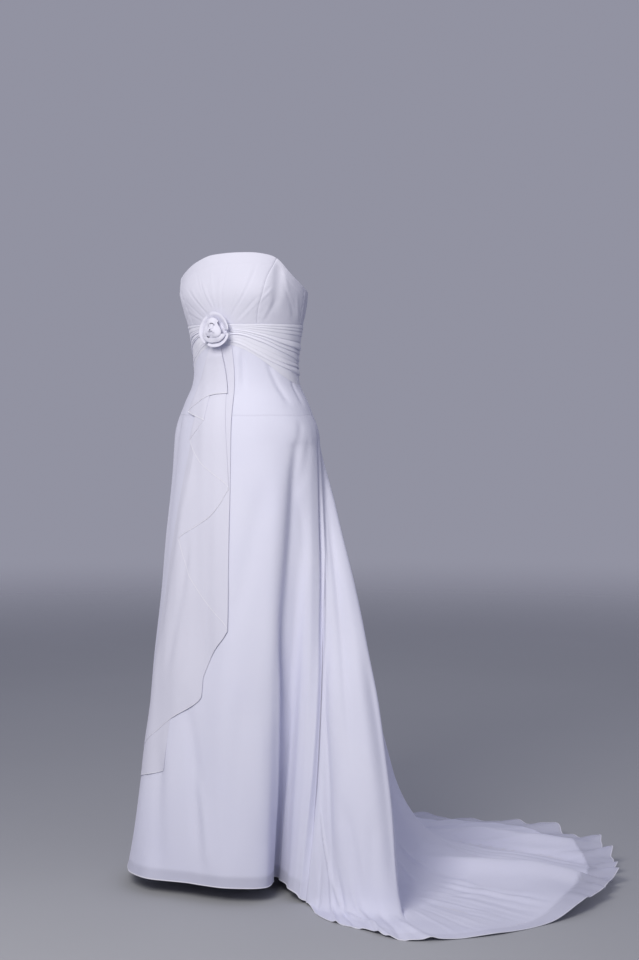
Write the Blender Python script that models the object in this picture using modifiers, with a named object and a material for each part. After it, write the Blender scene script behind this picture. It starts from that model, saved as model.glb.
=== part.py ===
"""A strapless floor-length bridesmaid gown, as it hangs on its wearer: a fitted bodice with
princess seams, a pleated midriff, a fabric rose, a waterfall panel, and a skirt with a train.

Metres, +Z up. The wearer faces -Y, and +X is the wearer's left. The origin is the middle of the
hollow at the underbust seam, where the bodice grips the wearer. Angles are in degrees round the
body, from the centre front towards the wearer's left. Heights in tables are above the floor.
"""

import bpy
import mathutils
import numpy as np

# Heights above the floor
UNDERBUST = 1.212
WAIST_SEAM = 1.082
WAIST_SEAM_RISE = 0.088
WAIST_SEAM_LEVEL = 100.0
HIP = 0.950
FLOOR = -UNDERBUST

# Walls and gaps
SEAM_GAP = 0.0003
BODICE_WALL = 0.0022
MIDRIFF_WALL = 0.0018
SKIRT_WALL = 0.0012
LINING_GAP = 0.0005
LINING_WALL = 0.0010
PANEL_WALL = 0.0010
PETAL_WALL = 0.0010

# Rings of the figure under the cloth: height, half width, front depth, back depth
RING_HEIGHT, RING_WIDTH, RING_FRONT, RING_BACK = range(4)
RINGS = np.array([
    (1.400, 0.1400, 0.100, 0.086),
    (1.366, 0.1450, 0.110, 0.092),
    (1.320, 0.1470, 0.120, 0.096),
    (1.275, 0.1470, 0.123, 0.098),
    (1.240, 0.1410, 0.117, 0.097),
    (1.212, 0.1350, 0.110, 0.095),
    (1.160, 0.1260, 0.101, 0.091),
    (1.118, 0.1225, 0.097, 0.090),
    (1.082, 0.1270, 0.099, 0.095),
    (1.040, 0.1470, 0.109, 0.112),
    (1.000, 0.1610, 0.118, 0.124),
    (0.950, 0.1730, 0.128, 0.136),
    (0.900, 0.1820, 0.137, 0.147),
])

# How quickly the front's depth gives way to the back's at the sides
SIDE_SHARPNESS = 3.0

# Bust cups: angle and height of the crown, spreads about it, fullness as a share of the ring
CUP_ANGLE = 42.0
CUP_SPREAD = 24.0
CUP_HEIGHT = 1.283
CUP_RISE = 0.052
CUP_FULLNESS = 0.085

# Neckline: angle from the front towards the wearer's left, height
NECKLINE = np.array([
    (-180.0, 1.2700),
    (-125.0, 1.2790),
    (-92.0, 1.2930),
    (-60.0, 1.3131),
    (-50.0, 1.3184),
    (-40.0, 1.3302),
    (-30.0, 1.3441),
    (-20.0, 1.3541),
    (-10.0, 1.3619),
    (0.0, 1.3648),
    (20.0, 1.3670),
    (38.0, 1.3650),
    (54.5, 1.3540),
    (70.0, 1.3220),
    (92.0, 1.2930),
    (125.0, 1.2790),
    (180.0, 1.2700),
])

# Princess seam: height, angle
PRINCESS = np.array([
    (1.212, 37.4),
    (1.241, 37.9),
    (1.271, 40.3),
    (1.310, 44.5),
    (1.354, 54.5),
])
BODICE_SIDE_SEAM = 92.0
CENTRE_BACK_ANGLE = 180.0

# Crests and hollows of the skirt, from the right side seam round by the front. Columns: angle at
# the waist, x and y of the foot, where the falling cloth reaches the floor, x and y of the hem,
# bulge half-way down, length of the bend at the foot, rise of the fold along the floor, height of
# the hem above the floor, and width of the sheer border between the lining's edge and the hem
SKIRT_COLUMNS = (
    "angle", "foot_x", "foot_y", "hem_x", "hem_y", "bulge", "bend", "ridge", "hem", "border"
)
SKIRT_FOLDS = {
    "right_side_seam": (-90, -0.232, 0.030, -0.232, 0.030, 0.004, 0.010, 0.000, 0.030, 0.026),
    "right_crest": (-64, -0.226, -0.100, -0.226, -0.100, -0.007, 0.010, 0.000, 0.030, 0.026),
    "right_front": (-42, -0.166, -0.215, -0.166, -0.215, -0.009, 0.010, 0.000, 0.030, 0.026),
    "front_crest": (-22, -0.082, -0.256, -0.082, -0.256, -0.006, 0.010, 0.000, 0.030, 0.026),
    "front_hollow": (0, 0.010, -0.243, 0.010, -0.243, -0.004, 0.010, 0.000, 0.031, 0.026),
    "middle_crest": (22, 0.092, -0.241, 0.092, -0.241, 0.002, 0.010, 0.000, 0.031, 0.026),
    "broad_crest": (46, 0.170, -0.190, 0.170, -0.190, 0.006, 0.010, 0.000, 0.030, 0.026),
    "deep_hollow": (70, 0.138, -0.108, 0.138, -0.108, 0.018, 0.010, 0.000, 0.026, 0.028),
    "side_crest": (87, 0.214, -0.148, 0.214, -0.148, 0.016, 0.010, 0.000, 0.018, 0.032),
    "left_side_seam": (100, 0.243, -0.160, 0.243, -0.160, 0.024, 0.014, 0.000, 0.006, 0.050),
    "near_edge": (107, 0.305, -0.172, 0.338, -0.235, 0.012, 0.030, 0.000, 0.003, 0.080),
    "near_face": (114, 0.375, -0.185, 0.444, -0.261, 0.010, 0.040, 0.004, 0.003, 0.050),
    "near_crest": (121, 0.466, -0.147, 0.551, -0.278, 0.028, 0.044, 0.006, 0.003, 0.032),
    "near_back": (128, 0.315, -0.015, 0.668, -0.174, 0.004, 0.080, 0.002, 0.003, 0.030),
    "valley": (137, 0.305, 0.070, 0.738, -0.041, 0.000, 0.140, 0.000, 0.003, 0.034),
    "valley_back": (147, 0.290, 0.150, 0.771, 0.070, -0.006, 0.160, 0.010, 0.024, 0.052),
    "ridge": (158, 0.285, 0.250, 0.777, 0.186, 0.000, 0.190, 0.034, 0.008, 0.074),
    "ridge_back": (169, 0.235, 0.365, 0.760, 0.302, 0.006, 0.210, 0.018, 0.012, 0.078),
    "centre_back": (180, 0.190, 0.405, 0.721, 0.404, 0.006, 0.210, 0.008, 0.004, 0.072),
    "right_valley": (191, 0.140, 0.370, 0.658, 0.508, -0.004, 0.200, 0.000, 0.024, 0.070),
    "right_ridge": (202, 0.085, 0.430, 0.555, 0.606, 0.006, 0.200, 0.020, 0.004, 0.064),
    "back_valley": (213, 0.010, 0.365, 0.424, 0.662, -0.004, 0.180, 0.000, 0.018, 0.058),
    "back_ridge": (224, -0.050, 0.390, 0.265, 0.661, 0.004, 0.160, 0.014, 0.004, 0.050),
    "far_valley": (236, -0.115, 0.300, 0.107, 0.628, -0.004, 0.130, 0.000, 0.010, 0.042),
    "far_crest": (248, -0.185, 0.270, -0.075, 0.519, 0.006, 0.090, 0.000, 0.003, 0.034),
    "far_side": (259, -0.205, 0.150, -0.210, 0.277, 0.000, 0.040, 0.000, 0.016, 0.028),
}
FOLD_NAMES = list(SKIRT_FOLDS)
FOLD_COUNT = len(FOLD_NAMES)
FOLD_ROWS = np.array(list(SKIRT_FOLDS.values()), float)
COLUMNS_PER_FOLD = 2
FRONT_START = FOLD_NAMES.index("right_side_seam")
CENTRE_FRONT = FOLD_NAMES.index("front_hollow")
FRONT_END = FOLD_NAMES.index("left_side_seam")
CENTRE_BACK = FOLD_NAMES.index("centre_back")

# Rows of the skirt from the hem up, as shares: 2 is the hem, 1 the hip and 0 the waist seam
HEM_SHARE = 2.0
SKIRT_SHARES = (1.89, 1.81, 1.73, 1.65, 1.56, 1.42, 1.22, 1.0, 0.70, 0.40, 0.20)
FITTED_SHARE = 0.45

# The skirt lies on the floor where its run there is longer than this, and the least bend of the
# cloth where it only hangs. The hem's own height grows over the last part of the run
GROUNDED_RUN = 0.050
HANGING_BEND = 0.004
HEM_RISE_START = 0.4

# Steps for slopes: degrees, metres, fold rows and shares
ANGLE_STEP = 0.2
HEIGHT_STEP = 0.0005
STATION_STEP = 0.01
SHARE_STEP = 0.002

# Share over which the sheer border's slope is taken at the hem
BORDER_STEP = 0.01

# Pleats of the midriff, and gathers of the bodice that fan out from the rose
FRONT_PLEATS = 7
BACK_PLEATS = 5
PLEAT_DEPTH = 0.0030
PLEAT_START = 8.0
PLEAT_GROWTH = 22.0
PLEAT_FADE = 0.45
BODICE_GATHERS = 13
GATHER_DEPTH = 0.0022
GATHER_START = 0.25
GATHER_FADE = 0.6
GATHER_CROWDING = 1.4
BODICE_ROWS = 9
PLAIN_COLUMNS = 7

# Waterfall panel, from its inner edge out. Columns: x at the rose, x and height of the hem, and
# the layer it lies in, counted up from the skirt
PANEL_TOP = 1.157
PANEL_SEAT = 0.0012
PANEL_CLEARANCE = 0.0060
PANEL_EASE = 0.10
PANEL_LAYER = 0.0032
PANEL_GATHER = 0.55
PANEL_ROWS = 13
PANEL_CROWDING = 1.3
WATERFALL_COLUMNS = ("top_x", "hem_x", "hem_height", "layer")
WATERFALL = {
    "inner_edge": (0.004, 0.016, 1.075, 7),
    "first_left_fold": (-0.020, -0.052, 1.028, 7),
    "first_left_turn": (-0.021, -0.054, 1.020, 6),
    "second_right_fold": (-0.012, -0.036, 1.008, 6),
    "second_right_turn": (-0.011, -0.034, 1.000, 5),
    "second_left_fold": (-0.022, -0.060, 0.975, 5),
    "second_left_turn": (-0.023, -0.062, 0.965, 4),
    "third_right_fold": (0.004, 0.024, 0.856, 4),
    "third_right_turn": (0.006, 0.026, 0.846, 3),
    "third_left_fold": (-0.026, -0.094, 0.745, 3),
    "third_left_turn": (-0.028, -0.096, 0.735, 2),
    "fourth_right_fold": (0.018, 0.052, 0.560, 2),
    "fourth_right_turn": (0.020, 0.054, 0.550, 1),
    "crease": (0.010, 0.010, 0.480, 1.3),
    "bend": (0.002, -0.005, 0.410, 1),
    "long_edge": (-0.012, -0.085, 0.355, 1.4),
    "outer_fold": (-0.033, -0.196, 0.276, 1),
    "outer_turn": (-0.034, -0.203, 0.262, 0),
    "tail_tip": (-0.033, -0.206, 0.204, 0),
    "tail_edge": (-0.022, -0.135, 0.222, 0),
}

# Fabric rose: a round base and petals that wind outwards from the bud
ROSE_X = -0.006
ROSE_HEIGHT = 1.199
ROSE_BASE_RADIUS = 0.027
ROSE_BASE_DEPTH = 0.0015
ROSE_LIFT = 0.0010
PETAL_WIND = 0.0012
PETAL_CROWN = 0.12
PETAL_POINTS = 9
PETAL_ROWS = 6
PETAL_COLUMNS = ("turn", "spread", "root", "lip", "rise", "flare")
PETALS = {
    "bud": (90, 350, 0.0028, 0.0058, 0.0250, 0.0000),
    "petal_1": (30, 190, 0.0058, 0.0106, 0.0235, 0.0005),
    "petal_2": (200, 190, 0.0088, 0.0154, 0.0218, 0.0010),
    "petal_3": (330, 170, 0.0118, 0.0202, 0.0196, 0.0015),
    "petal_4": (140, 170, 0.0148, 0.0250, 0.0170, 0.0020),
    "petal_5": (265, 150, 0.0178, 0.0298, 0.0142, 0.0025),
    "petal_6": (55, 108, 0.0208, 0.0350, 0.0112, 0.0035),
    "petal_7": (175, 108, 0.0208, 0.0350, 0.0112, 0.0035),
    "petal_8": (295, 108, 0.0208, 0.0350, 0.0112, 0.0035),
}

# Zip at the centre back: slider and hanging pull
ZIP_HEIGHT = 1.256
SLIDER_WIDTH = 0.0072
SLIDER_LENGTH = 0.0110
SLIDER_DEPTH = 0.0022
PIN_RADIUS = 0.0006
PIN_STAND = 0.0021
EYE_RADIUS = 0.0017
EYE_BORE = 0.0010
EYE_WIDTH = 0.0030
EAR_GAP = 0.0003
EAR_WIDTH = 0.0012
EAR_LENGTH = 0.0024
EAR_RIM = 0.0007
PULL_LENGTH = 0.0260
PULL_WIDTH = 0.0058
PULL_DEPTH = 0.0012
PULL_NECK = 0.0036
PULL_BEVEL = 0.0004
ROUND_SIDES = 16
SHARP_ANGLE = 50.0

CLOTH_COLOUR = (0.74, 0.745, 0.86)
LINING_COLOUR = (0.68, 0.68, 0.81)
ROSE_COLOUR = (0.72, 0.72, 0.84)
METAL_COLOUR = (0.78, 0.78, 0.80)
CLOTH_ROUGHNESS = 0.72
SATIN_ROUGHNESS = 0.45
METAL_ROUGHNESS = 0.30


def clear_scene():
    """Removes the startup objects."""
    for item in list(bpy.data.objects):
        bpy.data.objects.remove(item, do_unlink=True)


def make_collection(name):
    """A collection of this name, linked to the scene."""
    made = bpy.data.collections.new(name)
    bpy.context.scene.collection.children.link(made)
    return made


def make_material(name, colour, roughness, metallic=0.0):
    """A Principled material."""
    material = bpy.data.materials.new(name)
    material.use_nodes = True
    shader = material.node_tree.nodes["Principled BSDF"]
    shader.inputs["Base Color"].default_value = (*colour, 1.0)
    shader.inputs["Roughness"].default_value = roughness
    shader.inputs["Metallic"].default_value = metallic
    return material


def unit(vectors):
    """Each vector divided by its length."""
    return vectors / np.maximum(np.linalg.norm(vectors, axis=-1, keepdims=True), 1e-12)


def smooth(x):
    """0 below 0, 1 above 1, and 3x^2 - 2x^3 between."""
    x = np.clip(x, 0.0, 1.0)
    return x * x * (3 - 2 * x)


def through_rows(x, knots, values):
    """A smooth curve through table rows: cubic Hermite pieces with slopes from the neighbours."""
    order = np.argsort(knots)
    knots, values = knots[order], values[order]
    slopes = np.gradient(values, knots)
    x = np.clip(x, knots[0], knots[-1])
    i = np.clip(np.searchsorted(knots, x) - 1, 0, len(knots) - 2)
    width = knots[i + 1] - knots[i]
    f = (x - knots[i]) / width
    return (
        (2 * f**3 - 3 * f**2 + 1) * values[i]
        + (f**3 - 2 * f**2 + f) * width * slopes[i]
        + (3 * f**2 - 2 * f**3) * values[i + 1]
        + (f**3 - f**2) * width * slopes[i + 1]
    )


def from_front(angle):
    """The angle from the centre front, 0 to 180, on either side."""
    return np.abs((np.asarray(angle, float) + 180.0) % 360.0 - 180.0)


def torso(angle, height):
    """The cloth's outer surface round the figure at an angle and a height above the floor."""
    angle, height = np.broadcast_arrays(np.asarray(angle, float), np.asarray(height, float))
    turn = np.radians(angle)
    wide = through_rows(height, RINGS[:, RING_HEIGHT], RINGS[:, RING_WIDTH])
    front = through_rows(height, RINGS[:, RING_HEIGHT], RINGS[:, RING_FRONT])
    back = through_rows(height, RINGS[:, RING_HEIGHT], RINGS[:, RING_BACK])
    deep = back + (front - back) * 0.5 * (1 + np.tanh(SIDE_SHARPNESS * np.cos(turn)))
    across = (from_front(angle) - CUP_ANGLE) / CUP_SPREAD
    upward = (height - CUP_HEIGHT) / CUP_RISE
    cup = 1 + CUP_FULLNESS * np.exp(-across**2 - upward**2)
    x = wide * np.sin(turn) * cup
    y = -deep * np.cos(turn) * cup
    return np.stack([x, y, height - UNDERBUST], axis=-1)


def neckline(angle):
    """Height of the bodice's top edge, which dips further on the wearer's right."""
    signed = (np.asarray(angle, float) + 180.0) % 360.0 - 180.0
    return through_rows(signed, NECKLINE[:, 0], NECKLINE[:, 1])


def waist_seam(angle):
    """Height of the seam between midriff and skirt, which peaks under the rose."""
    lean = 90.0 * np.minimum(from_front(angle) / WAIST_SEAM_LEVEL, 1.0)
    return WAIST_SEAM + WAIST_SEAM_RISE * np.cos(np.radians(lean)) ** 2


def fold_values(station, column):
    """A column of SKIRT_FOLDS at a fractional row number, as a Catmull-Rom curve that closes
    round the skirt."""
    values = FOLD_ROWS[:, SKIRT_COLUMNS.index(column)]
    lap = 360.0 if column == "angle" else 0.0
    row = np.floor(station).astype(int)
    f = station - row

    def at(index):
        return values[index % FOLD_COUNT] + lap * (index // FOLD_COUNT)

    before, a, b, after = at(row - 1), at(row), at(row + 1), at(row + 2)
    return 0.5 * (
        2 * a
        + (b - before) * f
        + (2 * before - 5 * a + 4 * b - after) * f**2
        + (3 * a - before - 3 * b + after) * f**3
    )


def turned(distance, bend):
    """Distance gone past a corner, eased by a parabola within one bend of it."""
    eased = np.clip(distance + bend, 0.0, None) ** 2 / (4 * bend)
    return np.where(distance > bend, distance, eased)


def skirt(station, share):
    """The skirt's outer surface. From the hip the cloth falls in a straight line to its foot,
    turns through a parabola and runs along the floor to the hem. Above the hip that line blends
    into the fitted figure."""
    station, share = np.broadcast_arrays(np.asarray(station, float), np.asarray(share, float))
    get = {name: fold_values(station, name) for name in SKIRT_COLUMNS}
    seam = waist_seam(get["angle"])
    stack = SKIRT_WALL + LINING_GAP + LINING_WALL
    hip = torso(get["angle"], HIP)
    floor_run = np.hypot(get["hem_x"] - get["foot_x"], get["hem_y"] - get["foot_y"])
    grounded = smooth(floor_run / GROUNDED_RUN)
    foot_height = get["hem"] + (stack - get["hem"]) * grounded
    foot = np.stack([get["foot_x"], get["foot_y"], FLOOR + foot_height], axis=-1)
    run = np.stack([get["hem_x"], get["hem_y"], FLOOR + foot_height], axis=-1) - foot
    fall_length = np.linalg.norm(hip - foot, axis=-1)

    down = np.clip(share, 0.0, 1.0) * (seam - HIP)
    beyond = np.clip(share - 1.0, 0.0, 1.0) * (fall_length + floor_run)
    distance = down - (seam - HIP) + beyond - fall_length
    bend = np.clip(np.minimum(get["bend"], floor_run), HANGING_BEND, None)
    falling = turned(-distance, bend)[..., None] * unit(hip - foot)
    running = (turned(distance, bend) * grounded)[..., None] * unit(run)
    path = foot + falling + running

    fell = np.clip(beyond / fall_length, 0.0, 1.0)
    turn = np.radians(get["angle"])
    outward = np.stack([np.sin(turn), -np.cos(turn), np.zeros_like(turn)], axis=-1)
    path = path + (get["bulge"] * 4 * fell * (1 - fell))[..., None] * outward
    along = np.clip(distance / np.maximum(floor_run, HANGING_BEND), 0.0, 1.0)
    rise = get["ridge"] * 4 * along * (1 - along)
    rise = rise + (get["hem"] - stack) * smooth((along - HEM_RISE_START) / (1 - HEM_RISE_START))
    path[..., 2] += rise * grounded

    body = torso(get["angle"], seam - down)
    leaving = smooth((np.clip(share, 0.0, 1.0) - FITTED_SHARE) / (1 - FITTED_SHARE))[..., None]
    return body * (1 - leaving) + path * leaving


def normals(surface, across, upward, across_step, upward_step):
    """Outward unit normals of surface(across, upward), by central differences. Going across
    runs towards the wearer's left along the front, and the second direction runs upwards."""
    d_across = surface(across + across_step, upward) - surface(across - across_step, upward)
    d_upward = surface(across, upward + upward_step) - surface(across, upward - upward_step)
    return unit(np.cross(d_across, d_upward))


def grid_normals(points):
    """Unit normals of a grid of rows by columns, from its own steps."""
    return unit(np.cross(np.gradient(points, axis=1), np.gradient(points, axis=0)))


def torso_normals(angle, height):
    """Outward unit normals of the fitted cloth."""
    return normals(torso, angle, height, ANGLE_STEP, HEIGHT_STEP)


def skirt_normals(station, share):
    """Outward unit normals of the skirt."""
    return normals(skirt, station, share, STATION_STEP, -SHARE_STEP)


def add_mesh(name, points, faces, material, collection):
    """An object from points and faces."""
    mesh = bpy.data.meshes.new(name)
    mesh.from_pydata([tuple(point) for point in points], [], faces)
    mesh.validate()
    mesh.materials.append(material)
    mesh.shade_smooth()
    mesh.set_sharp_from_angle(angle=np.radians(SHARP_ANGLE))
    made = bpy.data.objects.new(name, mesh)
    collection.objects.link(made)
    return made


def add_cloth(name, outer, inner, material, collection):
    """A closed wall between two grids of rows by columns. Rows go up and columns go towards the
    wearer's left, seen from outside, so the outer faces point out. Both sides are split along
    the same diagonals, so that walls from the same surface lie evenly on each other."""
    rows, columns, _ = outer.shape
    points = np.concatenate([outer.reshape(-1, 3), inner.reshape(-1, 3)])
    index = np.arange(rows * columns).reshape(rows, columns)
    back = index + rows * columns
    a, b, c, d = index[:-1, :-1], index[:-1, 1:], index[1:, 1:], index[1:, :-1]
    outside = np.stack([a, b, c, a, c, d], axis=-1).reshape(-1, 3)
    inside = outside[:, ::-1] + rows * columns
    rim = np.concatenate([index[0, :-1], index[:-1, -1], index[-1, :0:-1], index[:0:-1, 0]])
    rim_back = np.concatenate([back[0, :-1], back[:-1, -1], back[-1, :0:-1], back[:0:-1, 0]])
    edge = np.stack([rim, rim_back, np.roll(rim_back, -1), np.roll(rim, -1)], axis=-1)
    faces = outside.tolist() + inside.tolist() + edge.tolist()
    return add_mesh(name, points, faces, material, collection)


def bodice_grid(left, right, spread):
    """Angles and heights of a bodice panel's grid between two seams, given as functions of
    height. Spread holds each column's share of the width, at the bottom and at the top."""
    upward = np.linspace(0.0, 1.0, BODICE_ROWS)[:, None]
    share = spread[0] * (1 - upward) + spread[1] * upward
    bottom = UNDERBUST + SEAM_GAP / 2
    angle = np.full_like(share, 0.5 * (left(UNDERBUST) + right(UNDERBUST)))
    for _ in range(12):
        height = bottom + upward * (neckline(angle) - bottom)
        gap = np.degrees(SEAM_GAP / 2 / np.linalg.norm(torso(angle, height)[..., :2], axis=-1))
        start = left(height) + gap
        angle = start + (right(height) - gap - start) * share
    return angle, bottom + upward * (neckline(angle) - bottom)


def princess(height):
    """Angle of the princess seam on the wearer's left."""
    return through_rows(height, PRINCESS[:, 0], PRINCESS[:, 1])


def fan_spread(folds):
    """Column shares for a fan of folds: two columns a fold, crowded to the middle at the bottom."""
    even = np.linspace(-1.0, 1.0, 2 * folds + 1)
    crowded = np.sign(even) * np.abs(even) ** GATHER_CROWDING
    return 0.5 + 0.5 * crowded, 0.5 + 0.5 * even


def add_bodice(collection, material):
    """Five bodice panels. The front one is gathered towards the rose."""
    plain = np.linspace(0.0, 1.0, PLAIN_COLUMNS)
    seams = {
        "bodice_side_front_right": (lambda h: -BODICE_SIDE_SEAM + 0 * h, lambda h: -princess(h)),
        "bodice_side_front_left": (princess, lambda h: BODICE_SIDE_SEAM + 0 * h),
        "bodice_back_left": (lambda h: BODICE_SIDE_SEAM + 0 * h,
                             lambda h: CENTRE_BACK_ANGLE + 0 * h),
        "bodice_back_right": (lambda h: -CENTRE_BACK_ANGLE + 0 * h,
                              lambda h: -BODICE_SIDE_SEAM + 0 * h),
    }
    for name, (left, right) in seams.items():
        angle, height = bodice_grid(left, right, (plain, plain))
        outer = torso(angle, height)
        inner = outer - BODICE_WALL * torso_normals(angle, height)
        add_cloth(name, outer, inner, material, collection)

    angle, height = bodice_grid(lambda h: -princess(h), princess, fan_spread(BODICE_GATHERS))
    outer = torso(angle, height)
    facing = torso_normals(angle, height)
    rows, columns = angle.shape
    crest = np.arange(columns) % 2
    upward = np.linspace(0.0, 1.0, rows)[:, None]
    ridge = GATHER_DEPTH * crest * smooth(upward / GATHER_START) * (1 - GATHER_FADE * smooth(upward))
    inner = outer - BODICE_WALL * facing
    add_cloth("bodice_front", outer + ridge[..., None] * facing, inner, material, collection)


def skirt_stations(first, last):
    """Fractional row numbers of a skirt piece's columns."""
    return np.linspace(first, last, (last - first) * COLUMNS_PER_FOLD + 1)


def trimmed_stations(first, last, shares):
    """Stations for each row of a piece, its end columns moved in by half a seam gap."""
    stations = np.tile(skirt_stations(first, last), (len(shares), 1))
    for column, step in ((0, STATION_STEP), (-1, -STATION_STEP)):
        here = skirt(stations[:, column], shares[:, column])
        near = skirt(stations[:, column] + step, shares[:, column])
        stations[:, column] += step * SEAM_GAP / 2 / np.linalg.norm(near - here, axis=-1)
    return stations


def lining_edge(stations):
    """Share of the lining's edge, a border's width short of the skirt's hem."""
    border = fold_values(stations, "border")
    near_hem = HEM_SHARE - 2 * BORDER_STEP
    step = skirt(stations, near_hem + BORDER_STEP) - skirt(stations, near_hem)
    return HEM_SHARE - BORDER_STEP * border / np.linalg.norm(step, axis=-1)


def skirt_shares(first, last):
    """Shares for each row and column of the skirt, from the hem up: the hem, the lining's edge,
    the even rows, and the waist seam with its gap."""
    stations = skirt_stations(first, last)
    seam = SEAM_GAP / 2 / (waist_seam(fold_values(stations, "angle")) - HIP)
    even = [np.full_like(stations, share) for share in SKIRT_SHARES]
    return np.array([np.full_like(stations, HEM_SHARE), lining_edge(stations), *even, seam])


def add_skirt(collection, cloth, lining):
    """The chiffon skirt in three pieces and the lining under it, each from the same surface."""
    spans = {
        "front": (FRONT_START, FRONT_END),
        "back_left": (FRONT_END, CENTRE_BACK),
        "back_right": (CENTRE_BACK, FOLD_COUNT),
    }
    for name, (first, last) in spans.items():
        shares = skirt_shares(first, last)
        stations = trimmed_stations(first, last, shares)
        outer = skirt(stations, shares)
        facing = skirt_normals(stations, shares)
        add_cloth("skirt_" + name, outer, outer - SKIRT_WALL * facing, cloth, collection)

        outer, facing = outer[1:], facing[1:]
        under = outer - (SKIRT_WALL + LINING_GAP) * facing
        add_cloth("lining_" + name, under, under - LINING_WALL * facing, lining, collection)


def add_midriff(collection, material):
    """The midriff band in four pieces. Its pleats fan out from the rose and run on, softer,
    round the back."""
    pieces = {
        "midriff_front_right": (FRONT_START, CENTRE_FRONT, FRONT_PLEATS),
        "midriff_front_left": (CENTRE_FRONT, FRONT_END, FRONT_PLEATS),
        "midriff_back_left": (FRONT_END, CENTRE_BACK, BACK_PLEATS),
        "midriff_back_right": (CENTRE_BACK, FOLD_COUNT, BACK_PLEATS),
    }
    for name, (first, last, pleats) in pieces.items():
        upward = np.linspace(0.0, 1.0, 2 * pleats + 1)[:, None]
        crest = (np.arange(len(upward)) % 2)[:, None]
        angle = np.tile(fold_values(skirt_stations(first, last), "angle"), (len(upward), 1))
        radius = np.linalg.norm(torso(angle, WAIST_SEAM)[..., :2], axis=-1)
        gap = np.degrees(SEAM_GAP / 2 / radius)
        angle[:, 0] += gap[:, 0]
        angle[:, -1] -= gap[:, -1]
        bottom = waist_seam(angle) + SEAM_GAP / 2
        height = bottom + upward * (UNDERBUST - SEAM_GAP / 2 - bottom)
        facing = torso_normals(angle, height)
        outer = torso(angle, height)
        inner = outer - MIDRIFF_WALL * facing
        away = from_front(angle)
        fan = smooth((away - PLEAT_START) / PLEAT_GROWTH) * (1 - PLEAT_FADE * smooth(away / 180.0))
        ridge = PLEAT_DEPTH * crest * fan
        add_cloth(name, outer + ridge[..., None] * facing, inner, material, collection)


def on_skirt(x, height):
    """Points and normals of the skirt's front at given x and height: the nearest of a fine grid
    of its points, then two Newton steps."""
    grid_station, grid_share = np.meshgrid(
        np.linspace(FRONT_START, FRONT_END - 2.5, 90), np.linspace(0.0, 1.98, 120)
    )
    grid = skirt(grid_station, grid_share)
    target = np.stack([x, height - UNDERBUST], axis=-1)
    apart = np.linalg.norm(
        grid[..., (0, 2)].reshape(1, -1, 2) - target.reshape(-1, 1, 2), axis=-1
    )
    nearest = np.argmin(apart, axis=1)
    station = grid_station.reshape(-1)[nearest].reshape(x.shape)
    share = grid_share.reshape(-1)[nearest].reshape(x.shape)
    for _ in range(2):
        here = skirt(station, share)[..., (0, 2)]
        by_station = (skirt(station + STATION_STEP, share)[..., (0, 2)] - here) / STATION_STEP
        by_share = (skirt(station, share + SHARE_STEP)[..., (0, 2)] - here) / SHARE_STEP
        slopes = np.stack([by_station, by_share], axis=-1)
        move = np.linalg.solve(slopes, (target - here)[..., None])[..., 0]
        station = station + np.clip(move[..., 0], -0.2, 0.2)
        share = np.clip(share + np.clip(move[..., 1], -0.05, 0.05), 0.0, 2.0)
    return skirt(station, share), skirt_normals(station, share)


def add_waterfall(collection, material):
    """The waterfall panel: fold lines from the rose to its hem, in layers over the skirt."""
    rows = np.array(list(WATERFALL.values()), float)
    lines = np.interp(
        np.arange(0, len(rows) - 0.75, 0.5), np.arange(len(rows)), np.arange(len(rows))
    )
    top_x, hem_x, hem_height, layer = (
        np.interp(lines, np.arange(len(rows)), rows[:, WATERFALL_COLUMNS.index(name)])
        for name in WATERFALL_COLUMNS
    )
    down = np.linspace(0.0, 1.0, PANEL_ROWS)[:, None] ** PANEL_CROWDING
    x = top_x + (hem_x - top_x) * down
    height = PANEL_TOP + (hem_height - PANEL_TOP) * down
    points, facing = on_skirt(x, height)
    hanging = smooth(down / PANEL_EASE)
    clearance = PANEL_SEAT + (PANEL_CLEARANCE - PANEL_SEAT) * hanging
    spacing = PANEL_LAYER * (PANEL_GATHER + (1 - PANEL_GATHER) * hanging)
    middle = points + (clearance + layer * spacing)[..., None] * facing
    side = PANEL_WALL / 2 * grid_normals(middle)
    add_cloth("waterfall_panel", middle + side, middle - side, material, collection)


def on_torso(x, height):
    """Points of the fitted front at given x and height: the angle is corrected until x fits."""
    angle = np.zeros_like(x)
    for _ in range(8):
        angle += np.degrees((x - torso(angle, height)[..., 0]) / RINGS[0, RING_WIDTH])
    return torso(angle, height)


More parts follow.
